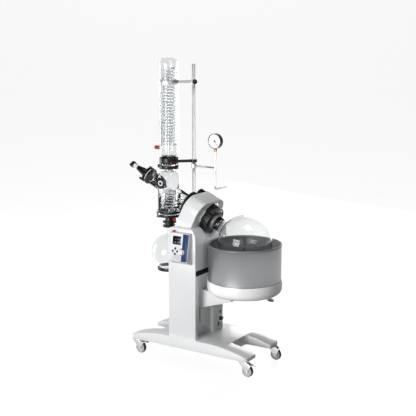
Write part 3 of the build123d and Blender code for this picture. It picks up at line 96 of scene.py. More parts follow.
# Meshes and shading
MERGE_DISTANCE = 2e-6
LEVEL_SLACK = 1e-7
SMOOTH_ANGLE = 32
FLAT_ANGLE = 1.0
SHARP_ANGLE = 38
BEVEL_STEPS = 2
QUARTER = 90
CORNER_STEP = 15
ROUND_STEPS = 64
LATHE_STEPS = 72
FINE_STEPS = 96
TUBE_ROUNDNESS = 5
SLACK = 0.0005

# How far edges are softened
FRAME_EDGE = 0.0020
SHEET_EDGE = 0.0015
MOULDED_EDGE = 0.0012
ENAMEL_EDGE = 0.0010
TURNED_EDGE = 0.0008
FITTING_EDGE = 0.0006
PEDAL_EDGE = 0.0005
THIN_EDGE = 0.0002

# Places worked out from the frame
SPIN_AXIS = Vector(JOINTS["flask_spin"]["axis"]).normalized()
FLASK_MIDDLE = Vector(JOINTS["flask_spin"]["pos_m"])
TOWER_LOW, TOWER_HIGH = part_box("tower_shell")
BATH_LOW, BATH_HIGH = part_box("bath_pot")
BATH_MIDDLE = (BATH_LOW + BATH_HIGH) / 2
RECEIVER_LOW, RECEIVER_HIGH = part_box("receiver_flask")
GLASS_X = (RECEIVER_LOW.x + RECEIVER_HIGH.x) / 2
GAUGE_MIDDLE = Vector(JOINTS["gauge_read"]["pos_m"])

# The control panel's plane passes through the knob, square to the knob's shaft
PANEL_OUT = Vector(JOINTS["speed_turn"]["axis"]).normalized()
PANEL_UP = PANEL_OUT.cross(RIGHT)
KNOB_RIGHT = 0.024
KNOB_UP = -0.029
PANEL_MIDDLE = Vector(JOINTS["speed_turn"]["pos_m"]) - KNOB_RIGHT * RIGHT - KNOB_UP * PANEL_UP


def place_matrix(right, up, out, origin):
    """The matrix that carries a piece drawn flat, facing +Z, to its place."""
    turn = Matrix((right, up, out)).transposed().to_4x4()
    return Matrix.Translation(origin) @ turn


def shift(x, y, z):
    """A place that is only moved, not turned."""
    return Matrix.Translation((x, y, z))


def z_turn(angle):
    """A turn about Z."""
    return Matrix.Rotation(math.radians(angle), 4, "Z")


def facing(direction, origin):
    """A place whose Z looks along a level direction."""
    out = Vector(direction).normalized()
    side = out.cross(UP).normalized()
    return place_matrix(side, out.cross(side), out, Vector(origin))


def along_axis(point):
    """How far a point lies along the turning axis from the flask's middle."""
    return (Vector(point) - FLASK_MIDDLE).dot(SPIN_AXIS)


PORT_HEIGHT = 1.168
PANEL_PLACE = place_matrix(RIGHT, PANEL_UP, PANEL_OUT, PANEL_MIDDLE)
GAUGE_PLACE = place_matrix(RIGHT, UP, FRONT, GAUGE_MIDDLE)
SPIN_PLACE = place_matrix(FRONT, SPIN_AXIS.cross(FRONT), SPIN_AXIS, FLASK_MIDDLE)
PORT_PLACE = place_matrix(RIGHT, UP, FRONT, Vector((GLASS_X, 0, PORT_HEIGHT)))


# Shader maths


class Value:
    """A socket whose sums and products become Math nodes."""

    def __init__(self, finish, socket):
        self.finish = finish
        self.socket = socket

    def maths(self, operation, first, second):
        return self.finish.node("ShaderNodeMath", {"operation": operation}, {0: first, 1: second})

    def __add__(self, other):
        return self.maths("ADD", self, other)

    def __radd__(self, other):
        return self.maths("ADD", other, self)

    def __sub__(self, other):
        return self.maths("SUBTRACT", self, other)

    def __rsub__(self, other):
        return self.maths("SUBTRACT", other, self)

    def __mul__(self, other):
        return self.maths("MULTIPLY", self, other)

    def __rmul__(self, other):
        return self.maths("MULTIPLY", other, self)


class Finish:
    """A material in the making: one Principled shader and the nodes that feed it."""

    def __init__(self, name, **constants):
        self.material = bpy.data.materials.new(name)
        self.material.use_nodes = True
        self.tree = self.material.node_tree
        self.shader = self.tree.nodes["Principled BSDF"]
        for socket, value in constants.items():
            self.shader.inputs[socket.replace("_", " ")].default_value = value

    def node(self, kind, settings=None, sockets=None, output=0):
        """Any other node: its settings are set first, then the values or links of its sockets."""
        made = self.tree.nodes.new(kind)
        for name, value in (settings or {}).items():
            setattr(made, name, value)
        for name, value in (sockets or {}).items():
            self.put(made.inputs[name], value)
        return Value(self, made.outputs[output])

    def put(self, socket, value):
        """Links a value to a socket, or sets a constant on it."""
        if isinstance(value, Value):
            self.tree.links.new(value.socket, socket)
        else:
            socket.default_value = value

    def feed(self, **values):
        """Links values that change over the surface to the shader."""
        for socket, value in values.items():
            self.put(self.shader.inputs[socket.replace("_", " ")], value)
        return self

    def place(self, scale=(1, 1, 1)):
        """Object coordinates, stretched."""
        objects = self.node("ShaderNodeTexCoord", output="Object")
        return self.node("ShaderNodeMapping", None, {"Vector": objects, "Scale": scale})

    def noise(self, vector, scale, detail=3.0):
        sockets = {"Vector": vector, "Scale": scale, "Detail": detail}
        return self.node("ShaderNodeTexNoise", None, sockets)

    def mix(self, factor, low, high):
        """A colour between two colours."""
        sockets = {0: factor, 6: low, 7: high}
        return self.node("ShaderNodeMix", {"data_type": "RGBA"}, sockets, output=2)

    def bump(self, height, strength, distance):
        sockets = {"Height": height, "Strength": strength, "Distance": distance}
        return self.node("ShaderNodeBump", None, sockets)


def colour(red, green, blue):
    return (red, green, blue, 1.0)


WHITE = colour(1.0, 1.0, 1.0)
NOISE_MIDDLE = 0.5
LINE_SHARE = 0.6
LINE_SPREAD = 0.16
GLASS_BEND = 1.3
GLASS_ROUGH = 0.015
GLASS_SMEAR = 0.02


def grained(name, dark, light, rough, spread, grain, depth, **constants):
    """A finish with a broad change of tone, patchy gloss and a fine grain in relief."""
    finish = Finish(name, **constants)
    where = finish.place()
    tone = finish.noise(where, scale=5.0)
    patch = finish.noise(where, scale=40.0)
    relief = finish.noise(where, scale=grain, detail=2.0)
    return finish.feed(
        Base_Color=finish.mix(tone, dark, light),
        Roughness=rough + spread * (patch - NOISE_MIDDLE),
        Normal=finish.bump(relief, strength=0.35, distance=depth),
    ).material


def brushed(name, dark, light, rough, stretch, depth):
    """Metal with fine lines drawn out along one direction."""
    finish = Finish(name, Metallic=1.0)
    lines = finish.noise(finish.place(stretch), scale=1.0, detail=4.0)
    broad = finish.noise(finish.place(), scale=6.0)
    return finish.feed(
        Base_Color=finish.mix(LINE_SHARE * lines + (1 - LINE_SHARE) * broad, dark, light),
        Roughness=rough + LINE_SPREAD * (lines - NOISE_MIDDLE),
        Normal=finish.bump(lines, strength=0.25, distance=depth),
    ).material


def clear_glass(name, dark, light):
    """Borosilicate glass with a faint unevenness from blowing."""
    finish = Finish(name, Transmission_Weight=1.0, IOR=GLASS_BEND)
    wave = finish.noise(finish.place(), scale=14.0, detail=1.0)
    smear = finish.noise(finish.place(), scale=30.0)
    return finish.feed(
        Base_Color=finish.mix(smear, dark, light),
        Roughness=GLASS_ROUGH + GLASS_SMEAR * smear,
        Normal=finish.bump(wave, strength=0.05, distance=0.002),
    ).material


def lit(name, tint, strength):
    """A glowing segment of the display, uneven in its glow."""
    finish = Finish(name, Emission_Strength=strength, Roughness=0.4)
    unevenness = finish.noise(finish.place(), scale=300.0)
    shown = finish.mix(unevenness, tint, WHITE)
    return finish.feed(Base_Color=shown, Emission_Color=shown).material


# Finishes

PAINT = grained("white_powder_coat", colour(0.76, 0.77, 0.78), colour(0.83, 0.835, 0.84),
                rough=0.38, spread=0.12, grain=900.0, depth=0.0002, Coat_Weight=0.12)
SKIRT_WHITE = grained("white_enamel", colour(0.93, 0.93, 0.93), colour(0.97, 0.97, 0.97),
                      rough=0.34, spread=0.1, grain=900.0, depth=0.0001)
# Near black painted shade for the faces inside the tower's shell, so the lift slot looks dark
PAINTED_INSIDE_SHADE = grained("painted_inside_shade", colour(0.010, 0.010, 0.010), colour(0.02, 0.02, 0.02),
                      rough=0.7, spread=0.1, grain=700.0, depth=0.0001)

GREY_PLASTIC = grained("pale_grey_plastic", colour(0.62, 0.63, 0.65), colour(0.68, 0.69, 0.70),
                       rough=0.45, spread=0.1, grain=1500.0, depth=0.0001)
WHITE_PLASTIC = grained("white_plastic", colour(0.80, 0.80, 0.79), colour(0.86, 0.86, 0.85),
                        rough=0.35, spread=0.1, grain=1600.0, depth=0.00008)
BLACK_PLASTIC = grained("black_plastic", colour(0.004, 0.004, 0.0045), colour(0.010, 0.010, 0.011),
                        rough=0.32, spread=0.14, grain=1400.0, depth=0.00012, Specular_IOR_Level=0.3)
RED_PLASTIC = grained("red_plastic", colour(0.42, 0.012, 0.014), colour(0.56, 0.02, 0.022),
                      rough=0.32, spread=0.12, grain=1500.0, depth=0.00008)
RING_GREY = grained("collar_ring_grey", colour(0.13, 0.13, 0.135), colour(0.18, 0.18, 0.185),
                    rough=0.42, spread=0.12, grain=1300.0, depth=0.0001)
DARK_GREY = grained("dark_grey_plastic", colour(0.10, 0.10, 0.105), colour(0.15, 0.15, 0.155),
                    rough=0.4, spread=0.12, grain=1300.0, depth=0.0001)
HUB = grained("grey_hub_plastic", colour(0.50, 0.51, 0.52), colour(0.60, 0.61, 0.62),
              rough=0.42, spread=0.1, grain=1300.0, depth=0.0001)
RUBBER = grained("tyre_rubber", colour(0.012, 0.012, 0.013), colour(0.028, 0.028, 0.029),
                 rough=0.72, spread=0.2, grain=700.0, depth=0.0003)

NAVY_PRINT = grained("navy_print", colour(0.010, 0.036, 0.125), colour(0.016, 0.050, 0.165),
                     rough=0.34, spread=0.08, grain=1800.0, depth=0.00004, Specular_IOR_Level=0.2)
WHITE_PRINT = grained("white_face_plate", colour(0.80, 0.81, 0.83), colour(0.86, 0.87, 0.88),
                      rough=0.36, spread=0.08, grain=1800.0, depth=0.00004)
BLUE_EDGE = grained("blue_grey_plate_edge", colour(0.30, 0.35, 0.45), colour(0.36, 0.41, 0.52),
                    rough=0.4, spread=0.1, grain=1600.0, depth=0.00004)
# Near black of the display window; the same colour paints the shadow round the speed knob
WINDOW_AND_KNOB_SHADOW = grained("display_window_and_knob_shadow", colour(0.003, 0.003, 0.004), colour(0.007, 0.008, 0.009),
                      rough=0.14, spread=0.06, grain=500.0, depth=0.00002)
DIAL_WHITE = grained("dial_enamel", colour(0.62, 0.62, 0.61), colour(0.68, 0.68, 0.67),
                     rough=0.4, spread=0.1, grain=900.0, depth=0.00003)
DIGITS = lit("display_digits", colour(0.30, 0.38, 0.45), strength=0.22)

# Darker and less metallic than the pot's outside, for the inside of the pot
POT_INSIDE = grained("pot_inside_darker", colour(0.20, 0.202, 0.206), colour(0.27, 0.272, 0.278),
                     rough=0.46, spread=0.12, grain=300.0, depth=0.00006, Metallic=0.35)
RIM_STEEL = grained("rolled_rim_steel", colour(0.17, 0.173, 0.18), colour(0.23, 0.233, 0.24),
                    rough=0.40, spread=0.12, grain=400.0, depth=0.00004, Metallic=0.5)
BEZEL = grained("satin_bezel", colour(0.20, 0.20, 0.205), colour(0.28, 0.28, 0.285),
                rough=0.34, spread=0.1, grain=900.0, depth=0.00004, Metallic=0.6)
ROD_STEEL = grained("satin_rod", colour(0.66, 0.665, 0.67), colour(0.76, 0.765, 0.77),
                    rough=0.30, spread=0.1, grain=600.0, depth=0.00002, Metallic=0.55)
POT_STEEL = brushed("satin_pot_steel", colour(0.27, 0.275, 0.285), colour(0.36, 0.365, 0.375),
                    rough=0.44, stretch=(7.0, 7.0, 700.0), depth=0.00006)
STEEL = brushed("zinc_plated_steel", colour(0.52, 0.53, 0.54), colour(0.66, 0.67, 0.68),
                rough=0.3, stretch=(90.0, 90.0, 260.0), depth=0.00004)
CHROME = brushed("chromed_rod", colour(0.70, 0.71, 0.72), colour(0.80, 0.81, 0.82),
                 rough=0.16, stretch=(60.0, 60.0, 500.0), depth=0.00001)
ALUMINIUM = brushed("brushed_aluminium", colour(0.50, 0.505, 0.51), colour(0.62, 0.625, 0.63),
                    rough=0.4, stretch=(200.0, 200.0, 14.0), depth=0.00004)
BRASS = brushed("brass_fitting", colour(0.58, 0.40, 0.16), colour(0.72, 0.53, 0.24),
                rough=0.26, stretch=(120.0, 120.0, 300.0), depth=0.00004)

GLASS = clear_glass("clear_glass", colour(0.86, 0.872, 0.875), colour(0.90, 0.91, 0.91))
FLASK_GLASS = clear_glass("flask_glass", colour(0.82, 0.827, 0.83), colour(0.86, 0.866, 0.866))
COIL_GLASS = clear_glass("coil_glass", colour(0.64, 0.65, 0.655), colour(0.72, 0.73, 0.73))

SLOT_FINISH = {
    "white_paint": PAINT, "pot_steel": POT_STEEL, "steel": STEEL, "chrome": CHROME,
    "black_plastic": BLACK_PLASTIC, "white_plastic": WHITE_PLASTIC, "blue_panel": WHITE_PRINT,
    "display": WINDOW_AND_KNOB_SHADOW, "red_plastic": RED_PLASTIC, "glass": GLASS, "aluminium": ALUMINIUM,
    "rubber": RUBBER, "brass": BRASS,
}


# Meshes


def full_turn(steps):
    """The angles of a circle cut into equal steps, in radians."""
    return [2 * math.pi * step / steps for step in range(steps)]


def settled(bm, name, *materials):
    """The mesh of a bmesh that is done, with its materials."""
    mesh = bpy.data.meshes.new(name)
    bm.to_mesh(mesh)
    bm.free()
    for material in materials:
        mesh.materials.append(material)
    return mesh


def moved(mesh, place):
    """A mesh carried to its place."""
    mesh.transform(place)
    return mesh


def shade(mesh):
    """Smooth faces that break at real edges."""
    mesh.polygons.foreach_set("use_smooth", [True] * len(mesh.polygons))
    mesh.set_sharp_from_angle(angle=math.radians(SMOOTH_ANGLE))


def piece(name, mesh, body, slot):
    """A finished piece, riding on its body. Glass casts no shadow."""
    made = bpy.data.objects.new(name, mesh)
    bpy.context.scene.collection.objects.link(made)
    made.visible_shadow = slot != "glass"
    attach(made, body)
    return made


def body_name(node):
    """The body that a node rides on."""
    return body_of(NODES[node])[0]


def soften(bm, bevel):
    """Rounds the outer edges. Inner ones stay, so that what fits there keeps its room."""
    flat = math.radians(FLAT_ANGLE)
    bmesh.ops.dissolve_limit(bm, angle_limit=flat, verts=bm.verts, edges=bm.edges)
    sharp = math.radians(SHARP_ANGLE)
    corners = [e for e in bm.edges if e.is_convex and e.calc_face_angle(0) > sharp]
    bmesh.ops.bevel(bm, geom=corners, offset=bevel, segments=BEVEL_STEPS, profile=0.5,
                    affect="EDGES", clamp_overlap=True)


def dressed(node, bevel=0.0, finish=None, painted=()):
    """A merged copy of a node with softened edges, smooth shading and its finishes.

    Each painted pair is a finish and a rule that picks its faces by their middle and normal.
    """
    bm = bmesh.new()
    bm.from_mesh(NODES[node].data)
    bmesh.ops.remove_doubles(bm, verts=bm.verts, dist=MERGE_DISTANCE)
    if bevel:
        soften(bm, bevel)
    for face in bm.faces:
        middle = face.calc_center_median()
        for index, (_, rule) in enumerate(painted):
            if rule(middle, face.normal):
                face.material_index = index + 1
    main = finish or SLOT_FINISH[SLOTS[node]]
    mesh = settled(bm, f"{node}_finished", main, *[material for material, _ in painted])
    shade(mesh)
    made = piece(f"{node}_finished", mesh, body_name(node), SLOTS[node])
    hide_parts(node)


def joined(name, meshes, body, slot):
    """One piece from several meshes that already lie in place."""
    bm = bmesh.new()
    materials = []
    for mesh in meshes:
        first = len(bm.faces)
        for material in mesh.materials:
            if material not in materials:
                materials.append(material)
        bm.from_mesh(mesh)
        bm.faces.ensure_lookup_table()
        for face in bm.faces[first:]:
            face.material_index = materials.index(mesh.materials[face.material_index])
    whole = settled(bm, name, *materials)
    shade(whole)
    return piece(name, whole, body, slot)


def fitted(name, mesh, place, slot, body="stand"):
    """One piece from one mesh, carried to its place."""
    return joined(name, [moved(mesh, place)], body, slot)


def raised(outline, low, high, material, bevel=THIN_EDGE):
    """A plate on a flat outline, with a softened top edge, as a mesh."""
    bm = bmesh.new()
    face = bm.faces.new([bm.verts.new((x, y, low)) for x, y in outline])
    lifted = bmesh.ops.extrude_face_region(bm, geom=[face], use_keep_orig=True)
    top = [v for v in lifted["geom"] if isinstance(v, bmesh.types.BMVert)]
    bmesh.ops.translate(bm, vec=(0, 0, high - low), verts=top)
    bmesh.ops.recalc_face_normals(bm, faces=bm.faces)
    level = max(v.co.z for v in bm.verts) - LEVEL_SLACK
    rim = [e for e in bm.edges if all(v.co.z > level for v in e.verts)]
    bmesh.ops.bevel(bm, geom=rim, offset=min(bevel, (high - low) / 2), segments=BEVEL_STEPS,
                    profile=0.5, affect="EDGES")
    return settled(bm, "plate", material)


def flat_plate(width, height, corner, low, high, material, bevel=THIN_EDGE):
    """A thin plate with rounded corners, lying flat, as a mesh."""
    outline = []
    for quarter, (side_x, side_y) in enumerate(((1, 1), (-1, 1), (-1, -1), (1, -1))):
        for turn in range(0, QUARTER + 1, CORNER_STEP):
            angle = math.radians(QUARTER * quarter + turn)
            x = side_x * (width / 2 - corner) + corner * math.cos(angle)
            y = side_y * (height / 2 - corner) + corner * math.sin(angle)
            outline.append((x, y))
    return raised(outline, low, high, material, bevel)


def round_plate(radius, low, high, material, steps=ROUND_STEPS, bevel=THIN_EDGE):
    """A round plate, lying flat, as a mesh."""
    outline = [(radius * math.cos(angle), radius * math.sin(angle)) for angle in full_turn(steps)]
    return raised(outline, low, high, material, bevel)


def lathe(profile, material, steps=LATHE_STEPS):
    """A round piece about Z from a closed loop of radius and height, as a mesh."""
    bm = bmesh.new()
    columns = []
    for angle in full_turn(steps):
        across, along = math.cos(angle), math.sin(angle)
        columns.append([bm.verts.new((r * across, r * along, z)) for r, z in profile])
    for order, column in enumerate(columns):
        following = columns[(order + 1) % steps]
        for low in range(len(profile)):
            high = (low + 1) % len(profile)
            bm.faces.new((column[low], following[low], following[high], column[high]))
    bmesh.ops.remove_doubles(bm, verts=bm.verts, dist=MERGE_DISTANCE)
    bmesh.ops.recalc_face_normals(bm, faces=bm.faces)
    return settled(bm, "turned", material)


def turned_ring(inner, outer, low, high, material, low_cut=(0, 0), high_cut=(0, 0), steps=LATHE_STEPS):
    """A ring whose outer corners are cut back, in radius and in height, as a mesh."""
    points = [(inner, low), (outer - low_cut[0], low), (outer, low + low_cut[1]),
              (outer, high - high_cut[1]), (outer - high_cut[0], high), (inner, high)]
    profile = list(dict.fromkeys(points))
    return lathe(profile, material, steps)


def curve_mesh(curve, material):
    """The plain mesh of a curve or a text, in one material."""
    holder = bpy.data.objects.new(curve.name, curve)
    mesh = bpy.data.meshes.new_from_object(holder)
    bpy.data.objects.remove(holder)
    mesh.materials.clear()
    mesh.materials.append(material)
    return mesh


def tube(points, radius, material):
    """A round tube along straight runs, as a mesh."""
    curve = bpy.data.curves.new("tube", "CURVE")
    curve.dimensions = "3D"
    curve.bevel_depth = radius
    curve.bevel_resolution = TUBE_ROUNDNESS
    curve.use_fill_caps = True
    run = curve.splines.new("POLY")
    run.points.add(len(points) - 1)
    for spot, point in zip(run.points, points):
        spot.co = (*point, 1.0)
    return curve_mesh(curve, material)


# Geometry node trees for what repeats


class Tree:
    """A geometry node tree with named inputs that ends in one mesh."""

    def __init__(self, name, **inputs):
        self.group = bpy.data.node_groups.new(name, "GeometryNodeTree")
        for label, kind in inputs.items():
            self.group.interface.new_socket(label, in_out="INPUT", socket_type=f"NodeSocket{kind}")
        self.group.interface.new_socket("Mesh", in_out="OUTPUT", socket_type="NodeSocketGeometry")
        self.source = self.group.nodes.new("NodeGroupInput")

    def node(self, kind, settings=None, sockets=None, output=0):
        made = self.group.nodes.new(kind)
        for name, value in (settings or {}).items():
            setattr(made, name, value)
        for name, value in (sockets or {}).items():
            if isinstance(value, bpy.types.NodeSocket):
                self.group.links.new(value, made.inputs[name])
            else:
                made.inputs[name].default_value = value
        return made.outputs[output]

    def maths(self, operation, first, second=0.0):
        return self.node("ShaderNodeMath", {"operation": operation}, {0: first, 1: second})

    def given(self, label):
        """A named input of the tree."""
        return self.source.outputs[label]

    def arc(self, step, start=0.0):
        """Points round the given circle, one for each count, and the angle of each."""
        index = self.node("GeometryNodeInputIndex")
        angle = self.maths("ADD", self.maths("MULTIPLY", index, step), start)
        across = self.maths("MULTIPLY", self.maths("COSINE", angle), self.given("Circle"))
        along = self.maths("MULTIPLY", self.maths("SINE", angle), self.given("Circle"))
        position = self.node("ShaderNodeCombineXYZ", None, {"X": across, "Y": along})
        sockets = {"Count": self.given("Count"), "Position": position}
        return self.node("GeometryNodePoints", None, sockets), angle

    def end(self, geometry):
        """The finished tree: instances made real, in the given material."""
        whole = self.node("GeometryNodeRealizeInstances", None, {"Geometry": geometry})
        sockets = {"Geometry": whole, "Material": self.given("Material")}
        coated = self.node("GeometryNodeSetMaterial", None, sockets)
        sink = self.group.nodes.new("NodeGroupOutput")
        self.group.links.new(coated, sink.inputs["Mesh"])
        return self.group


def grown(tree, **values):
    """The plain mesh that a tree makes from these inputs."""
    holder = bpy.data.objects.new("holder", bpy.data.meshes.new("holder"))
    bpy.context.scene.collection.objects.link(holder)
    modifier = holder.modifiers.new("tree", "NODES")
    modifier.node_group = tree
    for item in tree.interface.items_tree:
        if item.in_out == "INPUT":
            modifier[item.identifier] = values[item.name]
    graph = bpy.context.evaluated_depsgraph_get()
    mesh = bpy.data.meshes.new_from_object(holder.evaluated_get(graph))
    holder.modifiers.remove(modifier)
    bpy.data.objects.remove(holder)
    return mesh


# Sides of a coil's tube, and shares of a screw's head
TUBE_SIDES = 14
SCREW_SIDES = 18
SOCKET_SIDES = 6
CROWN_SHARE = 0.25
RIM_SHARE = 0.78
SOCKET_SHARE = 0.48


def coil_tree():
    """A round tube wound into a helix."""
    tree = Tree("tube_coil", Turns="Float", Radius="Float", Height="Float", Tube="Float",
                Steps="Int", Material="Material")
    helix = tree.node("GeometryNodeCurveSpiral", None, {
        "Resolution": tree.given("Steps"), "Rotations": tree.given("Turns"),
        "Start Radius": tree.given("Radius"), "End Radius": tree.given("Radius"),
        "Height": tree.given("Height")})
    section = tree.node("GeometryNodeCurvePrimitiveCircle", None, {
        "Resolution": TUBE_SIDES, "Radius": tree.given("Tube")})
    wound = tree.node("GeometryNodeCurveToMesh", None, {
        "Curve": helix, "Profile Curve": section, "Fill Caps": True})
    return tree.end(wound)


def screw_tree():
    """Cap screws with a chamfered head and a six-sided socket, set round a circle."""
    tree = Tree("screw_circle", Count="Int", Circle="Float", Head="Float", Height="Float",
                Material="Material")
    places, _ = tree.arc(tree.maths("DIVIDE", 2 * math.pi, tree.given("Count")))
    radius = tree.given("Head")
    tall = tree.given("Height")
    rim = tree.maths("MULTIPLY", radius, RIM_SHARE)
    socket = tree.maths("MULTIPLY", radius, SOCKET_SHARE)
    crown_tall = tree.maths("MULTIPLY", tall, CROWN_SHARE)
    barrel = tree.node("GeometryNodeMeshCylinder", None, {
        "Vertices": SCREW_SIDES, "Radius": radius, "Depth": tall})
    crown = tree.node("GeometryNodeMeshCone", {"fill_type": "NONE"}, {
        "Vertices": SCREW_SIDES, "Radius Top": rim, "Radius Bottom": radius, "Depth": crown_tall})
    inner = tree.node("GeometryNodeMeshCone", {"fill_type": "NGON"}, {
        "Vertices": SOCKET_SIDES, "Radius Top": socket, "Radius Bottom": rim, "Depth": crown_tall})
    lift = tree.node("ShaderNodeCombineXYZ", None, {"Z": tree.maths("MULTIPLY", tall, 0.5)})
    head = tree.group.nodes.new("GeometryNodeJoinGeometry")
    tree.group.links.new(barrel, head.inputs["Geometry"])
    for part in (crown, inner):
        lifted = tree.node("GeometryNodeTransform", None, {"Geometry": part, "Translation": lift})
        tree.group.links.new(lifted, head.inputs["Geometry"])
    spread = tree.node("GeometryNodeInstanceOnPoints", None, {
        "Points": places, "Instance": head.outputs["Geometry"]})
    return tree.end(spread)


def bar_tree():
    """Short bars that stand round an arc, like the marks of a dial."""
    tree = Tree("arc_of_bars", Count="Int", Start="Float", Step="Float", Circle="Float",
                Length="Float", Width="Float", Thick="Float", Material="Material")
    points, angle = tree.arc(tree.given("Step"), tree.given("Start"))
    size = tree.node("ShaderNodeCombineXYZ", None, {
        "X": tree.given("Length"), "Y": tree.given("Width"), "Z": tree.given("Thick")})
    bar = tree.node("GeometryNodeMeshCube", None, {"Size": size})
    turn = tree.node("ShaderNodeCombineXYZ", None, {"Z": angle})
    rotation = tree.node("FunctionNodeEulerToRotation", None, {"Euler": turn})
    spread = tree.node("GeometryNodeInstanceOnPoints", None, {
        "Points": points, "Instance": bar, "Rotation": rotation})
    return tree.end(spread)


COIL = coil_tree()
SCREWS = screw_tree()
BARS = bar_tree()


def screws(place, head, height, count=1, circle=0.0):
    """Screw heads round a circle, whose undersides lie in the XY plane of their place."""
    mesh = grown(SCREWS, Count=count, Circle=circle, Head=head, Height=height, Material=STEEL)
    return moved(mesh, place @ shift(0, 0, height / 2))


# Sheet-metal stand and tower

RECESS_X = 0.056
RECESS_FRONT = -0.177
RECESS_TOP = 0.629
POCKET_RADIUS = 0.115
RIGHT_BEVEL_X = 0.025
RIGHT_BEVEL_Z = 0.042
LEFT_BEVEL = 0.016
LOOK_AHEAD = 0.01
CASTER_PLATE_DROP = 0.0721

# Along the turning axis from the flask's middle
COLLAR_START = 0.256
HEAD_FACE = 0.316


def inside_tower(point, normal):
    """Whether a face of the shell looks into its closed inside."""
    ahead = point + LOOK_AHEAD * normal
    if not all(low < value < high for low, value, high in zip(TOWER_LOW, ahead, TOWER_HIGH)):
        return False
    if ahead.x > RECESS_X - SLACK and ahead.y > RECESS_FRONT - SLACK and ahead.z < RECESS_TOP + SLACK:
        return False
    reach = along_axis(ahead)
    if reach < HEAD_FACE and (ahead - FLASK_MIDDLE - reach * SPIN_AXIS).length < POCKET_RADIUS:
        return False
    below_top = ahead.z - TOWER_HIGH.z
    right_bevel = (ahead.x - TOWER_HIGH.x) / RIGHT_BEVEL_X + below_top / RIGHT_BEVEL_Z
    return right_bevel < -1 and ahead.x - TOWER_LOW.x > below_top + LEFT_BEVEL


def paint_stand():
    plate_top = TOWER_LOW.z - CASTER_PLATE_DROP
    dressed("base_frame", FRAME_EDGE, painted=[(STEEL, lambda p, n: p.z < plate_top)])
    # The faces that look into the shell's closed inside get painted shade, near black
    dressed("tower_shell", SHEET_EDGE, painted=[(PAINTED_INSIDE_SHADE, inside_tower)])
    dressed("rear_cover", TURNED_EDGE)
    dressed("service_box", MOULDED_EDGE)
    dressed("head_housing", MOULDED_EDGE)
    dressed("bath_skirt", ENAMEL_EDGE, SKIRT_WHITE)
    dressed("bath_carriage", SHEET_EDGE)
    dressed("control_box", SHEET_EDGE, GREY_PLASTIC)


# Turning head: a chrome ring round the flask's collar and a rubber boot over the seal

CHROME_INNER = 0.0935
CHROME_OUTER = 0.1015
CHROME_START = 0.306
CHROME_CUT = (0.003, 0.003)
BOOT_INNER = 0.0465
BOOT_OUTER = 0.084
BOOT_START = 0.4755
BOOT_END = 0.490
BOOT_LOW_CUT = (0.001, 0.0015)
BOOT_HIGH_CUT = (0.004, 0.004)


def paint_head():
    ring_end = COLLAR_START - SLACK
    dressed("flask_collar", MOULDED_EDGE, painted=[(RING_GREY, lambda p, n: along_axis(p) < ring_end)])
    dressed("seal_collar", SHEET_EDGE)
    dressed("drive_motor", TURNED_EDGE, BLACK_PLASTIC)
    dressed("collar_lever", TURNED_EDGE)
    for node in ("rotary_tube", "motor_pulley", "tube_bearings", "drive_belt", "lift_actuator",
                 "bath_heater"):
        dressed(node)


def add_head_rings():
    ring = turned_ring(CHROME_INNER, CHROME_OUTER, CHROME_START, HEAD_FACE + SLACK, CHROME,
                       low_cut=CHROME_CUT, steps=FINE_STEPS)
    fitted("collar_ring", ring, SPIN_PLACE, "chrome")
    boot = turned_ring(BOOT_INNER, BOOT_OUTER, BOOT_START, BOOT_END, RUBBER,
                       low_cut=BOOT_LOW_CUT, high_cut=BOOT_HIGH_CUT, steps=FINE_STEPS)
    fitted("seal_boot", boot, SPIN_PLACE, "rubber")


# Heating bath: finishes by radius and by depth under the rim, a probe inside and a rolled lip

INSIDE_RADIUS = 0.2345
INSIDE_DROP = 0.004
INSIDE_LEVEL = 0.5
RIM_RADIUS = 0.2374
RIM_DROP = 0.0125
RIM_CROWN_DROP = 0.0055
GRIP_START = 0.016
PROBE_WAY = Vector((-0.54, 0.84, 0))
PROBE_REACH = 0.222
PROBE_RADIUS = 0.005
PROBE_RISE = 0.042
PROBE_DROP = 0.018
CLIP_REACH = 0.2335
CLIP_RADIUS = 0.003
CLIP_HEIGHTS = (0.65, 0.78)
LIP_RADIUS = 0.2363
LIP_ROLL = 0.0070
LIP_DROP = 0.0068
LIP_SIDES = 20
LIP_STEPS = 128


def paint_bath():
    def from_middle(point):
        return Vector((point.x - BATH_MIDDLE.x, point.y - BATH_MIDDLE.y, 0))

    def on_inside(point, normal):
        radial = from_middle(point)
        inward = normal.dot(radial) < 0 or normal.z > INSIDE_LEVEL
        return point.z < BATH_HIGH.z - INSIDE_DROP and radial.length < INSIDE_RADIUS and inward

    def on_rim(point, normal):
        outside = from_middle(point).length > RIM_RADIUS
        return point.z > BATH_HIGH.z - RIM_DROP and (outside or point.z > BATH_HIGH.z - RIM_CROWN_DROP)

    # The pot's inside faces below the rim are darker and less metallic than its outside
    dressed("bath_pot", painted=[(POT_INSIDE, on_inside), (RIM_STEEL, on_rim)])
    dressed("drain_valve", FITTING_EDGE, STEEL)
    grip = JOINTS["drain_turn"]["pos_m"][0] + GRIP_START
    dressed("drain_lever", FITTING_EDGE, STEEL, [(BLACK_PLASTIC, lambda p, n: p.x > grip)])


def add_bath_fittings():
    def at(reach, height):
        """A point on the probe's side of the bath."""
        return Vector((BATH_MIDDLE.x, BATH_MIDDLE.y, height)) + reach * PROBE_WAY

    ends = [at(PROBE_REACH, z) for z in (BATH_LOW.z + PROBE_RISE, BATH_HIGH.z - PROBE_DROP)]
    meshes = [tube(ends, PROBE_RADIUS, DARK_GREY)]
    for height in CLIP_HEIGHTS:
        meshes.append(tube([at(PROBE_REACH, height), at(CLIP_REACH, height)], CLIP_RADIUS, STEEL))
    joined("bath_probe", meshes, "bath", "steel")
    roll = [(LIP_RADIUS + LIP_ROLL * math.cos(angle), LIP_ROLL * math.sin(angle) - LIP_DROP)
            for angle in full_turn(LIP_SIDES)]
    lip = lathe(roll, RIM_STEEL, LIP_STEPS)
    fitted("bath_lip", lip, shift(BATH_MIDDLE.x, BATH_MIDDLE.y, BATH_HIGH.z), "pot_steel", "bath")


# Glassware, with the coils of the condenser and of the vessel under it

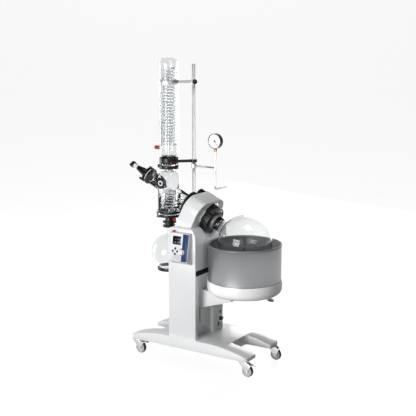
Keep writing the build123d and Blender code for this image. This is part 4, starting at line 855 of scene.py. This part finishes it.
COIL_LOW = 1.418
COIL_PITCH = 0.020
COIL_TURNS = 25
COIL_RADIUS = 0.046
COIL_LEAD = 0.0612
COIL_TUBE = 0.006
COIL_STEPS = 40
JACKET_LOW = 1.336
LOWER_LOW = 0.985
LOWER_PITCH = 0.019
LOWER_TURNS = 6
LOWER_RADIUS = 0.050
VESSEL_LOW = 0.9515
FEED_GLAND_END = 0.936


def coil_with_leads(radius, pitch, turns, low, start, foot):
    """A coil with the lead at its foot and a straight tube back down its middle."""
    height = pitch * turns
    top = low + height
    wound = grown(COIL, Turns=float(turns), Radius=radius, Height=height, Tube=COIL_TUBE,
                  Steps=COIL_STEPS, Material=COIL_GLASS)
    lead = tube([start, (radius, 0, low)], COIL_TUBE, COIL_GLASS)
    back = tube([(radius, 0, top), (0, 0, top), (0, 0, foot)], COIL_TUBE, COIL_GLASS)
    return [moved(wound, shift(GLASS_X, 0, low)), moved(lead, shift(GLASS_X, 0, 0)),
            moved(back, shift(GLASS_X, 0, 0))]


def wind_coils():
    upper = coil_with_leads(COIL_RADIUS, COIL_PITCH, COIL_TURNS, COIL_LOW,
                            (COIL_LEAD, 0, COIL_LOW), JACKET_LOW)
    lower = coil_with_leads(LOWER_RADIUS, LOWER_PITCH, LOWER_TURNS, LOWER_LOW,
                            (LOWER_RADIUS, 0, VESSEL_LOW), VESSEL_LOW)
    made = joined("cooling_coils_glass", upper + lower, "stand", "glass")
    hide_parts("cooling_coils")


def paint_glass():
    dressed("evaporating_flask", finish=FLASK_GLASS)
    for node in ("condenser_jacket", "glass_manifold", "receiver_flask"):
        dressed(node)
    for node in ("condenser_flange", "manifold_flanges", "port_cap", "receiver_valve", "receiver_cradle",
                 "feed_flange", "feed_knob", "vent_knob", "receiver_knob", "condenser_clamp", "clamp_knob"):
        dressed(node, TURNED_EDGE)
    gland = (BLACK_PLASTIC, lambda p, n: along_axis(p) < FEED_GLAND_END)
    dressed("feed_valve", TURNED_EDGE, painted=[gland])
    dressed("support_rod", finish=ROD_STEEL)


# Control panel, drawn flat about the middle of its face plate

FACE_THICK = 0.002
KEY_RISE = 0.00005
EDGE_SLOPE = 0.3
STRIP_LEFT = 0.0265
STRIP_OVERHANG = 0.0045
STRIP_MARGIN = 0.0006
STRIP_CORNER = 0.003
STRIP_RISE = 0.0003
# A dark disc round the knob, wider than the knob, paints the knob's shadow on the face plate
KNOB_SHADOW_RADIUS = 0.0235
KNOB_SHADOW_RISE = 0.0006

# Display figures: shares of a figure's height, then places on the panel
DIGIT_WIDTH = 0.55
DIGIT_PITCH = 1.6 * DIGIT_WIDTH
SEGMENT_THICK = 0.11
SEGMENT_CORNER = 0.45 * SEGMENT_THICK
DIGIT_HEIGHT = 0.0065
DIGIT_RISE = 0.0002
DIGIT_EDGE = 0.00005
DISPLAY_THICK = 0.0026
DISPLAY_RIGHT = -0.017
DISPLAY_UP = 0.044
DISPLAY_COLUMNS = (-0.015, 0.008)
DISPLAY_ROWS = ((0.009, ("12", "65")), (-0.011, ("30", "28")))
SEGMENTS = {"0": "abcdef", "1": "bc", "2": "abged", "3": "abgcd", "4": "fgbc", "5": "afgcd",
            "6": "afgedc", "7": "abc", "8": "abcdefg", "9": "abcdfg"}


def digit_meshes(text, right, up):
    """Seven-segment figures, lying flat on the display."""
    wide = DIGIT_WIDTH * DIGIT_HEIGHT
    thick = SEGMENT_THICK * DIGIT_HEIGHT
    half = DIGIT_HEIGHT / 2
    lying, standing = (wide - thick, thick), (thick, half - thick)
    bars = {"a": (0, half, lying), "g": (0, 0, lying), "d": (0, -half, lying),
            "b": (wide / 2, half / 2, standing), "c": (wide / 2, -half / 2, standing),
            "f": (-wide / 2, half / 2, standing), "e": (-wide / 2, -half / 2, standing)}
    made = []
    for order, figure in enumerate(text):
        start = right + order * DIGIT_PITCH * DIGIT_HEIGHT
        for name in SEGMENTS[figure]:
            x, y, size = bars[name]
            bar = flat_plate(*size, SEGMENT_CORNER * DIGIT_HEIGHT, DISPLAY_THICK,
                             DISPLAY_THICK + DIGIT_RISE, DIGITS, DIGIT_EDGE)
            made.append(moved(bar, PANEL_PLACE @ shift(start + x, up + y, 0)))
    return made


def paint_panel():
    def on_key(point, normal):
        return (point - PANEL_MIDDLE).dot(PANEL_OUT) > FACE_THICK + KEY_RISE

    def on_edge(point, normal):
        return abs(normal.dot(PANEL_OUT)) < EDGE_SLOPE and not on_key(point, normal)

    dressed("panel_face", painted=[(NAVY_PRINT, on_key), (BLUE_EDGE, on_edge)])
    dressed("panel_display", FITTING_EDGE)
    dressed("speed_knob", TURNED_EDGE)
    dressed("stop_button", SHEET_EDGE)
    dressed("main_switch", MOULDED_EDGE)
    dressed("power_switch", TURNED_EDGE)


def print_panel():
    """The navy strip, a dark disc round the knob that paints its shadow, and the figures of the display."""
    low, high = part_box("panel_face")
    tall = (high.z - low.z) / PANEL_UP.z
    strip_right = (high.x - low.x) / 2 + STRIP_OVERHANG
    strip = flat_plate(strip_right - STRIP_LEFT, tall - STRIP_MARGIN, STRIP_CORNER, 0,
                       FACE_THICK + STRIP_RISE, NAVY_PRINT, STRIP_RISE)
    # Painted shadow: a dark disc under the knob
    knob_shadow = round_plate(KNOB_SHADOW_RADIUS, FACE_THICK, FACE_THICK + KNOB_SHADOW_RISE, WINDOW_AND_KNOB_SHADOW)
    printed = [moved(strip, PANEL_PLACE @ shift((STRIP_LEFT + strip_right) / 2, 0, 0)),
               moved(knob_shadow, PANEL_PLACE @ shift(KNOB_RIGHT, KNOB_UP, 0))]
    joined("panel_print", printed, "stand", "blue_panel")
    figures = []
    for up, texts in DISPLAY_ROWS:
        for right, text in zip(DISPLAY_COLUMNS, texts):
            figures += digit_meshes(text, DISPLAY_RIGHT + right, DISPLAY_UP + up)
    joined("display_figures", figures, "stand", "display")


# Vacuum gauge, with levels along its axis from the needle's middle

BEZEL_LEVEL = 0.0125
NUT_DROP = 0.023
DIAL_LEVEL = 0.009
DIAL_THICK = 0.0002
DIAL_RADIUS = 0.0448
MARK_LEVEL = DIAL_LEVEL + 0.00022
MARK_THICK = 0.00004
MARK_CIRCLE = 0.0405
SCALE_START = -50
SCALE_SWEEP = 280
SCALE_MARKS = ((51, 0.003, 0.0003), (11, 0.006, 0.0008))    # count, length and width
SCALE_FIGURES = 6
FIGURE_STEP = 2
FIGURE_CIRCLE = 0.0285
FIGURE_SIZE = 0.0085
FIGURE_RISE = 0.00002
POINTER_LEVEL = 0.0138
POINTER_TIP = 0.034
POINTER_TAIL = -0.010
POINTER_HALF = 0.0021
POINTER_TAPER = 3
POINTER_THICK = 0.0008
POINTER_EDGE = 0.0001
HUB_CAP_RADIUS = 0.0062
HUB_CAP_THICK = 0.0014
HUB_CAP_STEPS = 32
LENS_LOW = 0.0158
LENS_HIGH = 0.0172
LENS_EDGE = 0.0004


def paint_gauge():
    front = GAUGE_MIDDLE.y - BEZEL_LEVEL
    nut_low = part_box("gauge_case")[0].z - NUT_DROP
    dressed("gauge_case", FITTING_EDGE, BLACK_PLASTIC, [(BEZEL, lambda p, n: p.y < front)])
    dressed("gauge_needle", finish=BLACK_PLASTIC)
    dressed("gauge_stand", FITTING_EDGE, STEEL, [(BRASS, lambda p, n: p.z > nut_low)])


def add_pointer():
    """A bold pointer over the thin needle, turning with it."""
    narrow = POINTER_HALF / POINTER_TAPER
    outline = ((POINTER_TAIL, -POINTER_HALF), (POINTER_TIP, -narrow), (POINTER_TIP, narrow),
               (POINTER_TAIL, POINTER_HALF))
    blade = raised(outline, 0, POINTER_THICK, BLACK_PLASTIC, POINTER_EDGE)
    cap = round_plate(HUB_CAP_RADIUS, 0, HUB_CAP_THICK, BLACK_PLASTIC, HUB_CAP_STEPS)
    lift = GAUGE_PLACE @ shift(0, 0, POINTER_LEVEL)
    meshes = [moved(blade, lift @ z_turn(SCALE_START)), moved(cap, lift)]
    joined("gauge_pointer", meshes, body_name("gauge_needle"), "black_plastic")


def dial_figure(text, angle):
    """A figure of the dial's scale, upright, as a mesh."""
    curve = bpy.data.curves.new("figure", "FONT")
    curve.body = text
    curve.size = FIGURE_SIZE
    curve.align_x = "CENTER"
    curve.align_y = "CENTER"
    curve.extrude = FIGURE_RISE
    x = FIGURE_CIRCLE * math.cos(math.radians(angle))
    y = FIGURE_CIRCLE * math.sin(math.radians(angle))
    return moved(curve_mesh(curve, BLACK_PLASTIC), GAUGE_PLACE @ shift(x, y, MARK_LEVEL))


def add_dial():
    """The dial with its marks and figures, and the glass over it."""
    plate = round_plate(DIAL_RADIUS, DIAL_LEVEL, DIAL_LEVEL + DIAL_THICK, DIAL_WHITE)
    meshes = [moved(plate, GAUGE_PLACE)]
    for count, length, width in SCALE_MARKS:
        step = math.radians(SCALE_SWEEP / (count - 1))
        marks = grown(BARS, Count=count, Start=math.radians(SCALE_START), Step=step,
                      Circle=MARK_CIRCLE - length / 2, Length=length, Width=width,
                      Thick=MARK_THICK, Material=BLACK_PLASTIC)
        meshes.append(moved(marks, GAUGE_PLACE @ shift(0, 0, MARK_LEVEL)))
    for order in range(SCALE_FIGURES):
        angle = SCALE_START + order * SCALE_SWEEP / (SCALE_FIGURES - 1)
        meshes.append(dial_figure(str(FIGURE_STEP * order), angle))
    joined("gauge_dial", meshes, "stand", "white_plastic")
    lens = round_plate(DIAL_RADIUS, LENS_LOW, LENS_HIGH, GLASS, bevel=LENS_EDGE)
    fitted("gauge_lens", lens, GAUGE_PLACE, "glass")


# Casters

CASTER_PLACES = ("front_left", "front_right", "rear_left", "rear_right")
HUB_RADIUS = 0.0252
NUT_REACH = 0.0173
AXLE_NUT = {"head": 0.0065, "height": 0.004}


def paint_casters():
    for place in CASTER_PLACES:
        centre = Vector(JOINTS[f"caster_roll_{place}"]["pos_m"])

        def on_hub(point, normal, centre=centre):
            return math.hypot(point.x - centre.x, point.z - centre.z) < HUB_RADIUS

        dressed(f"caster_wheel_{place}", MOULDED_EDGE, RUBBER, [(HUB, on_hub)])
        dressed(f"caster_fork_{place}", FITTING_EDGE)
        dressed(f"caster_pedal_{place}", PEDAL_EDGE)
        nuts = [screws(facing(way, centre + NUT_REACH * way), **AXLE_NUT) for way in (FRONT, BACK)]
        joined(f"axle_nuts_{place}", nuts, body_name(f"caster_fork_{place}"), "steel")


# Screw heads on the stand, the head and the glass flanges

FLANGE_SCREW = {"head": 0.0038, "height": 0.004, "count": 6, "circle": 0.0812}
FLANGE_RING_TOP = 0.9703
COVER_SCREW = {"head": 0.004, "height": 0.0022}
COVER_MARGIN_X = 0.012
COVER_MARGIN_Z = 0.02
HEAD_SCREW = {"head": 0.0035, "height": 0.002}
HEAD_SIDE = -0.162
HEAD_SCREWS_ALONG = (0.335, 0.415)
HEAD_SCREWS_UP = -0.03
PORT_LUGS = 3
PORT_COVER_RADIUS = 0.038
PORT_COVER_LOW = 0.088
PORT_COVER_HIGH = 0.099
PORT_TURN = QUARTER
PORT_SCREW = {"head": 0.005, "height": 0.004, "count": PORT_LUGS, "circle": PORT_COVER_RADIUS}


def add_screws():
    heads = [screws(shift(GLASS_X, 0, FLANGE_RING_TOP), **FLANGE_SCREW)]
    low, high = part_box("rear_cover")
    for z in (low.z + COVER_MARGIN_Z, (low.z + high.z) / 2, high.z - COVER_MARGIN_Z):
        for x in (low.x + COVER_MARGIN_X, high.x - COVER_MARGIN_X):
            if x < RECESS_X or z > RECESS_TOP:
                heads.append(screws(facing(BACK, (x, high.y, z)), **COVER_SCREW))
    for along in HEAD_SCREWS_ALONG:
        spot = FLASK_MIDDLE + along * SPIN_AXIS + HEAD_SCREWS_UP * SPIN_PLACE.col[1].xyz
        spot.y = HEAD_SIDE
        heads.append(screws(facing(FRONT, spot), **HEAD_SCREW))
    port_face = PORT_PLACE @ shift(0, 0, PORT_COVER_HIGH) @ z_turn(PORT_TURN)
    heads.append(screws(port_face, **PORT_SCREW))
    joined("stand_screws", heads, "stand", "steel")


# Small fittings on the glass: port cover with its insert, red lock screw and vent sleeve

PORT_LUG_RADIUS = 0.009
PORT_COVER_EDGE = 0.001
PORT_COVER_STEPS = 180
SMALL_CUT = (0.001, 0.001)
INSERT_INNER = 0.0105
INSERT_OUTER = 0.0185
INSERT_LOW = 0.1018
INSERT_HIGH = 0.1045
LOCK_WAY = Vector((0.727, -0.686, 0))
LOCK_HEIGHT = 1.2975
LOCK_RADIUS = 0.0065
LOCK_START = 0.062
LOCK_END = 0.0715
LOCK_CUT = (0.0015, 0.0015)
LOCK_STEPS = 24
SLEEVE_INNER = 0.0102
SLEEVE_OUTER = 0.0145
SLEEVE_START = 0.070
SLEEVE_END = 0.081
SLEEVE_STEPS = 32


def lugged_outline():
    """The port cover's outline: a circle with half-round lugs on its rim."""
    pitch = 2 * math.pi / PORT_LUGS
    points = []
    for angle in full_turn(PORT_COVER_STEPS):
        lean = (angle + pitch / 2) % pitch - pitch / 2
        spare = PORT_LUG_RADIUS ** 2 - (PORT_COVER_RADIUS * math.sin(lean)) ** 2
        reach = PORT_COVER_RADIUS
        if spare > 0:
            reach = max(reach, PORT_COVER_RADIUS * math.cos(lean) + math.sqrt(spare))
        points.append((reach * math.cos(angle), reach * math.sin(angle)))
    return points


def add_glass_fittings():
    cover = raised(lugged_outline(), PORT_COVER_LOW, PORT_COVER_HIGH, BLACK_PLASTIC, PORT_COVER_EDGE)
    fitted("port_cover", cover, PORT_PLACE @ z_turn(PORT_TURN), "black_plastic")
    insert = turned_ring(INSERT_INNER, INSERT_OUTER, INSERT_LOW, INSERT_HIGH, WHITE_PLASTIC,
                         high_cut=SMALL_CUT)
    fitted("port_insert", insert, PORT_PLACE, "white_plastic")
    lock = turned_ring(0, LOCK_RADIUS, LOCK_START, LOCK_END, RED_PLASTIC,
                       high_cut=LOCK_CUT, steps=LOCK_STEPS)
    fitted("flange_lock", lock, facing(LOCK_WAY, (GLASS_X, 0, LOCK_HEIGHT)), "red_plastic")
    sleeve = turned_ring(SLEEVE_INNER, SLEEVE_OUTER, SLEEVE_START, SLEEVE_END, DARK_GREY,
                         low_cut=SMALL_CUT, high_cut=SMALL_CUT, steps=SLEEVE_STEPS)
    vent_height = JOINTS["vent_turn"]["pos_m"][2]
    fitted("vent_sleeve", sleeve, facing(LEFT, (GLASS_X, 0, vent_height)), "black_plastic")


# Fittings on the tower's right side: mains inlet, ring of the main switch, and a black strip over the recess
# that paints the shade under the upper side panel

INLET_Y = 0.078
INLET_Z = 0.211
INLET_WIDE = 0.0245
INLET_TALL = 0.0325
INLET_CORNER = 0.0121
INLET_BACK = -0.0118
INLET_FACE = -0.0015
INLET_EDGE = 0.0008
INLET_PIN = {"head": 0.0016, "height": 0.003, "count": 3, "circle": 0.0055}
SWITCH_INNER = 0.0156
SWITCH_OUTER = 0.0195
SWITCH_RISE = 0.002
# The black strip over the recess is painted shade under the upper side panel
SHADE_STRIP_MARGIN = 0.012
SHADE_STRIP_TALL = 0.034
SHADE_STRIP_CORNER = 0.002
SHADE_STRIP_RISE = 0.0009
SHADE_STRIP_EDGE = 0.0004
SHADE_STRIP_Z = 0.619
SEAT_DEPTH = 0.0003


def add_service_fittings():
    face = TOWER_HIGH.x
    inlet = facing(RIGHT, (face, INLET_Y, INLET_Z))
    socket = flat_plate(INLET_WIDE, INLET_TALL, INLET_CORNER, INLET_BACK, INLET_FACE, BLACK_PLASTIC,
                        INLET_EDGE)
    pins = screws(inlet @ shift(0, 0, INLET_FACE), **INLET_PIN)
    joined("mains_inlet", [moved(socket, inlet), pins], "stand", "black_plastic")
    _, switch_y, switch_z = JOINTS["main_switch_turn"]["pos_m"]
    ring = turned_ring(SWITCH_INNER, SWITCH_OUTER, -SEAT_DEPTH, SWITCH_RISE, CHROME, high_cut=SMALL_CUT)
    fitted("switch_ring", ring, facing(RIGHT, (face, switch_y, switch_z)), "steel")
    deep = TOWER_HIGH.y - TOWER_LOW.y - SHADE_STRIP_MARGIN
    middle = (TOWER_HIGH.y + TOWER_LOW.y) / 2
    # Painted shade: a black strip along the side, just above the recess
    shade_strip = flat_plate(deep, SHADE_STRIP_TALL, SHADE_STRIP_CORNER, -SEAT_DEPTH, SHADE_STRIP_RISE, BLACK_PLASTIC, SHADE_STRIP_EDGE)
    fitted("recess_shade_strip", shade_strip, facing(RIGHT, (face, middle, SHADE_STRIP_Z)), "black_plastic")


# Floor that sweeps up into a backdrop, world, lights and camera

FLOOR_NEAR = -9.0
FLOOR_FAR = 4.0
FLOOR_HALF = 12.0
SWEEP_RADIUS = 3.0
SWEEP_STEP = 6
WALL_TOP = 9.0
FLOOR_GLOW = 0.91
STUDIO_FLOOR = grained("studio_floor", colour(0.075, 0.075, 0.075), colour(0.085, 0.085, 0.085),
                       rough=0.6, spread=0.05, grain=30.0, depth=0.00005,
                       Emission_Color=WHITE, Emission_Strength=FLOOR_GLOW)
WORLD_TINT = colour(0.98, 0.99, 1.0)
WORLD_GLOW = 0.90
LIGHT_BOUNCES = 28
LIGHT_TARGET = Vector((0.0, 0.0, 0.9))
LIGHTS = (    # name, place, width and height, watts
    ("key", (-0.4, -5.5, 1.2), (2.6, 2.6), 285.0),
    ("fill", (4.6, -3.4, 2.4), (2.0, 2.6), 36.0),
    ("above", (1.3, -0.5, 4.4), (1.6, 1.6), 42.0),
    ("left", (-5.0, -0.6, 1.0), (2.2, 2.6), 105.0),
    ("back", (-1.2, 5.0, 1.0), (2.6, 2.6), 120.0),
)


def add_floor():
    """A glowing sweep that faces the camera and gives no light to matt surfaces."""
    sweep = [(FLOOR_NEAR, 0.0)]
    for turn in range(0, QUARTER + 1, SWEEP_STEP):
        reach = FLOOR_FAR + SWEEP_RADIUS * math.sin(math.radians(turn))
        sweep.append((reach, SWEEP_RADIUS - SWEEP_RADIUS * math.cos(math.radians(turn))))
    sweep.append((FLOOR_FAR + SWEEP_RADIUS, WALL_TOP))
    bm = bmesh.new()
    rows = [[bm.verts.new((x, reach, height)) for x in (-FLOOR_HALF, FLOOR_HALF)] for reach, height in sweep]
    for near, far in zip(rows, rows[1:]):
        bm.faces.new((near[0], near[1], far[1], far[0]))
    mesh = moved(settled(bm, "floor", STUDIO_FLOOR), z_turn(CAMERA_AZIMUTH))
    shade(mesh)
    floor = bpy.data.objects.new("floor", mesh)
    bpy.context.scene.collection.objects.link(floor)
    floor.visible_diffuse = False


def add_world():
    """A pale world that shows to the camera and through glass alone."""
    world = bpy.data.worlds.new("studio_world")
    world.use_nodes = True
    sky = world.node_tree.nodes["Background"]
    sky.inputs["Color"].default_value = WORLD_TINT
    sky.inputs["Strength"].default_value = WORLD_GLOW
    scene = bpy.context.scene
    scene.world = world
    world.cycles_visibility.diffuse = False
    world.cycles_visibility.glossy = False
    scene.view_settings.view_transform = "Standard"
    for limit in ("max_bounces", "transmission_bounces", "transparent_max_bounces"):
        setattr(scene.cycles, limit, LIGHT_BOUNCES)


def add_lights():
    for name, place, size, power in LIGHTS:
        light = bpy.data.lights.new(name, "AREA")
        light.shape = "RECTANGLE"
        light.size, light.size_y = size
        light.energy = power
        made = bpy.data.objects.new(name, light)
        bpy.context.scene.collection.objects.link(made)
        made.location = place
        look = LIGHT_TARGET - Vector(place)
        made.rotation_euler = look.to_track_quat("-Z", "Y").to_euler()


def add_camera():
    data = bpy.data.cameras.new("photo_camera")
    data.lens = CAMERA_LENS
    data.sensor_width = CAMERA_SENSOR
    data.clip_end = CAMERA_REACH
    made = bpy.data.objects.new("photo_camera", data)
    bpy.context.scene.collection.objects.link(made)
    made.location = CAMERA_PLACE
    made.rotation_euler = (math.radians(QUARTER - CAMERA_ELEVATION), 0, math.radians(CAMERA_AZIMUTH))
    bpy.context.scene.camera = made


paint_stand()
paint_head()
add_head_rings()
paint_bath()
add_bath_fittings()
wind_coils()
paint_glass()
paint_panel()
print_panel()
paint_gauge()
add_pointer()
add_dial()
paint_casters()
add_screws()
add_glass_fittings()
add_service_fittings()
add_floor()
add_world()
add_lights()
add_camera()
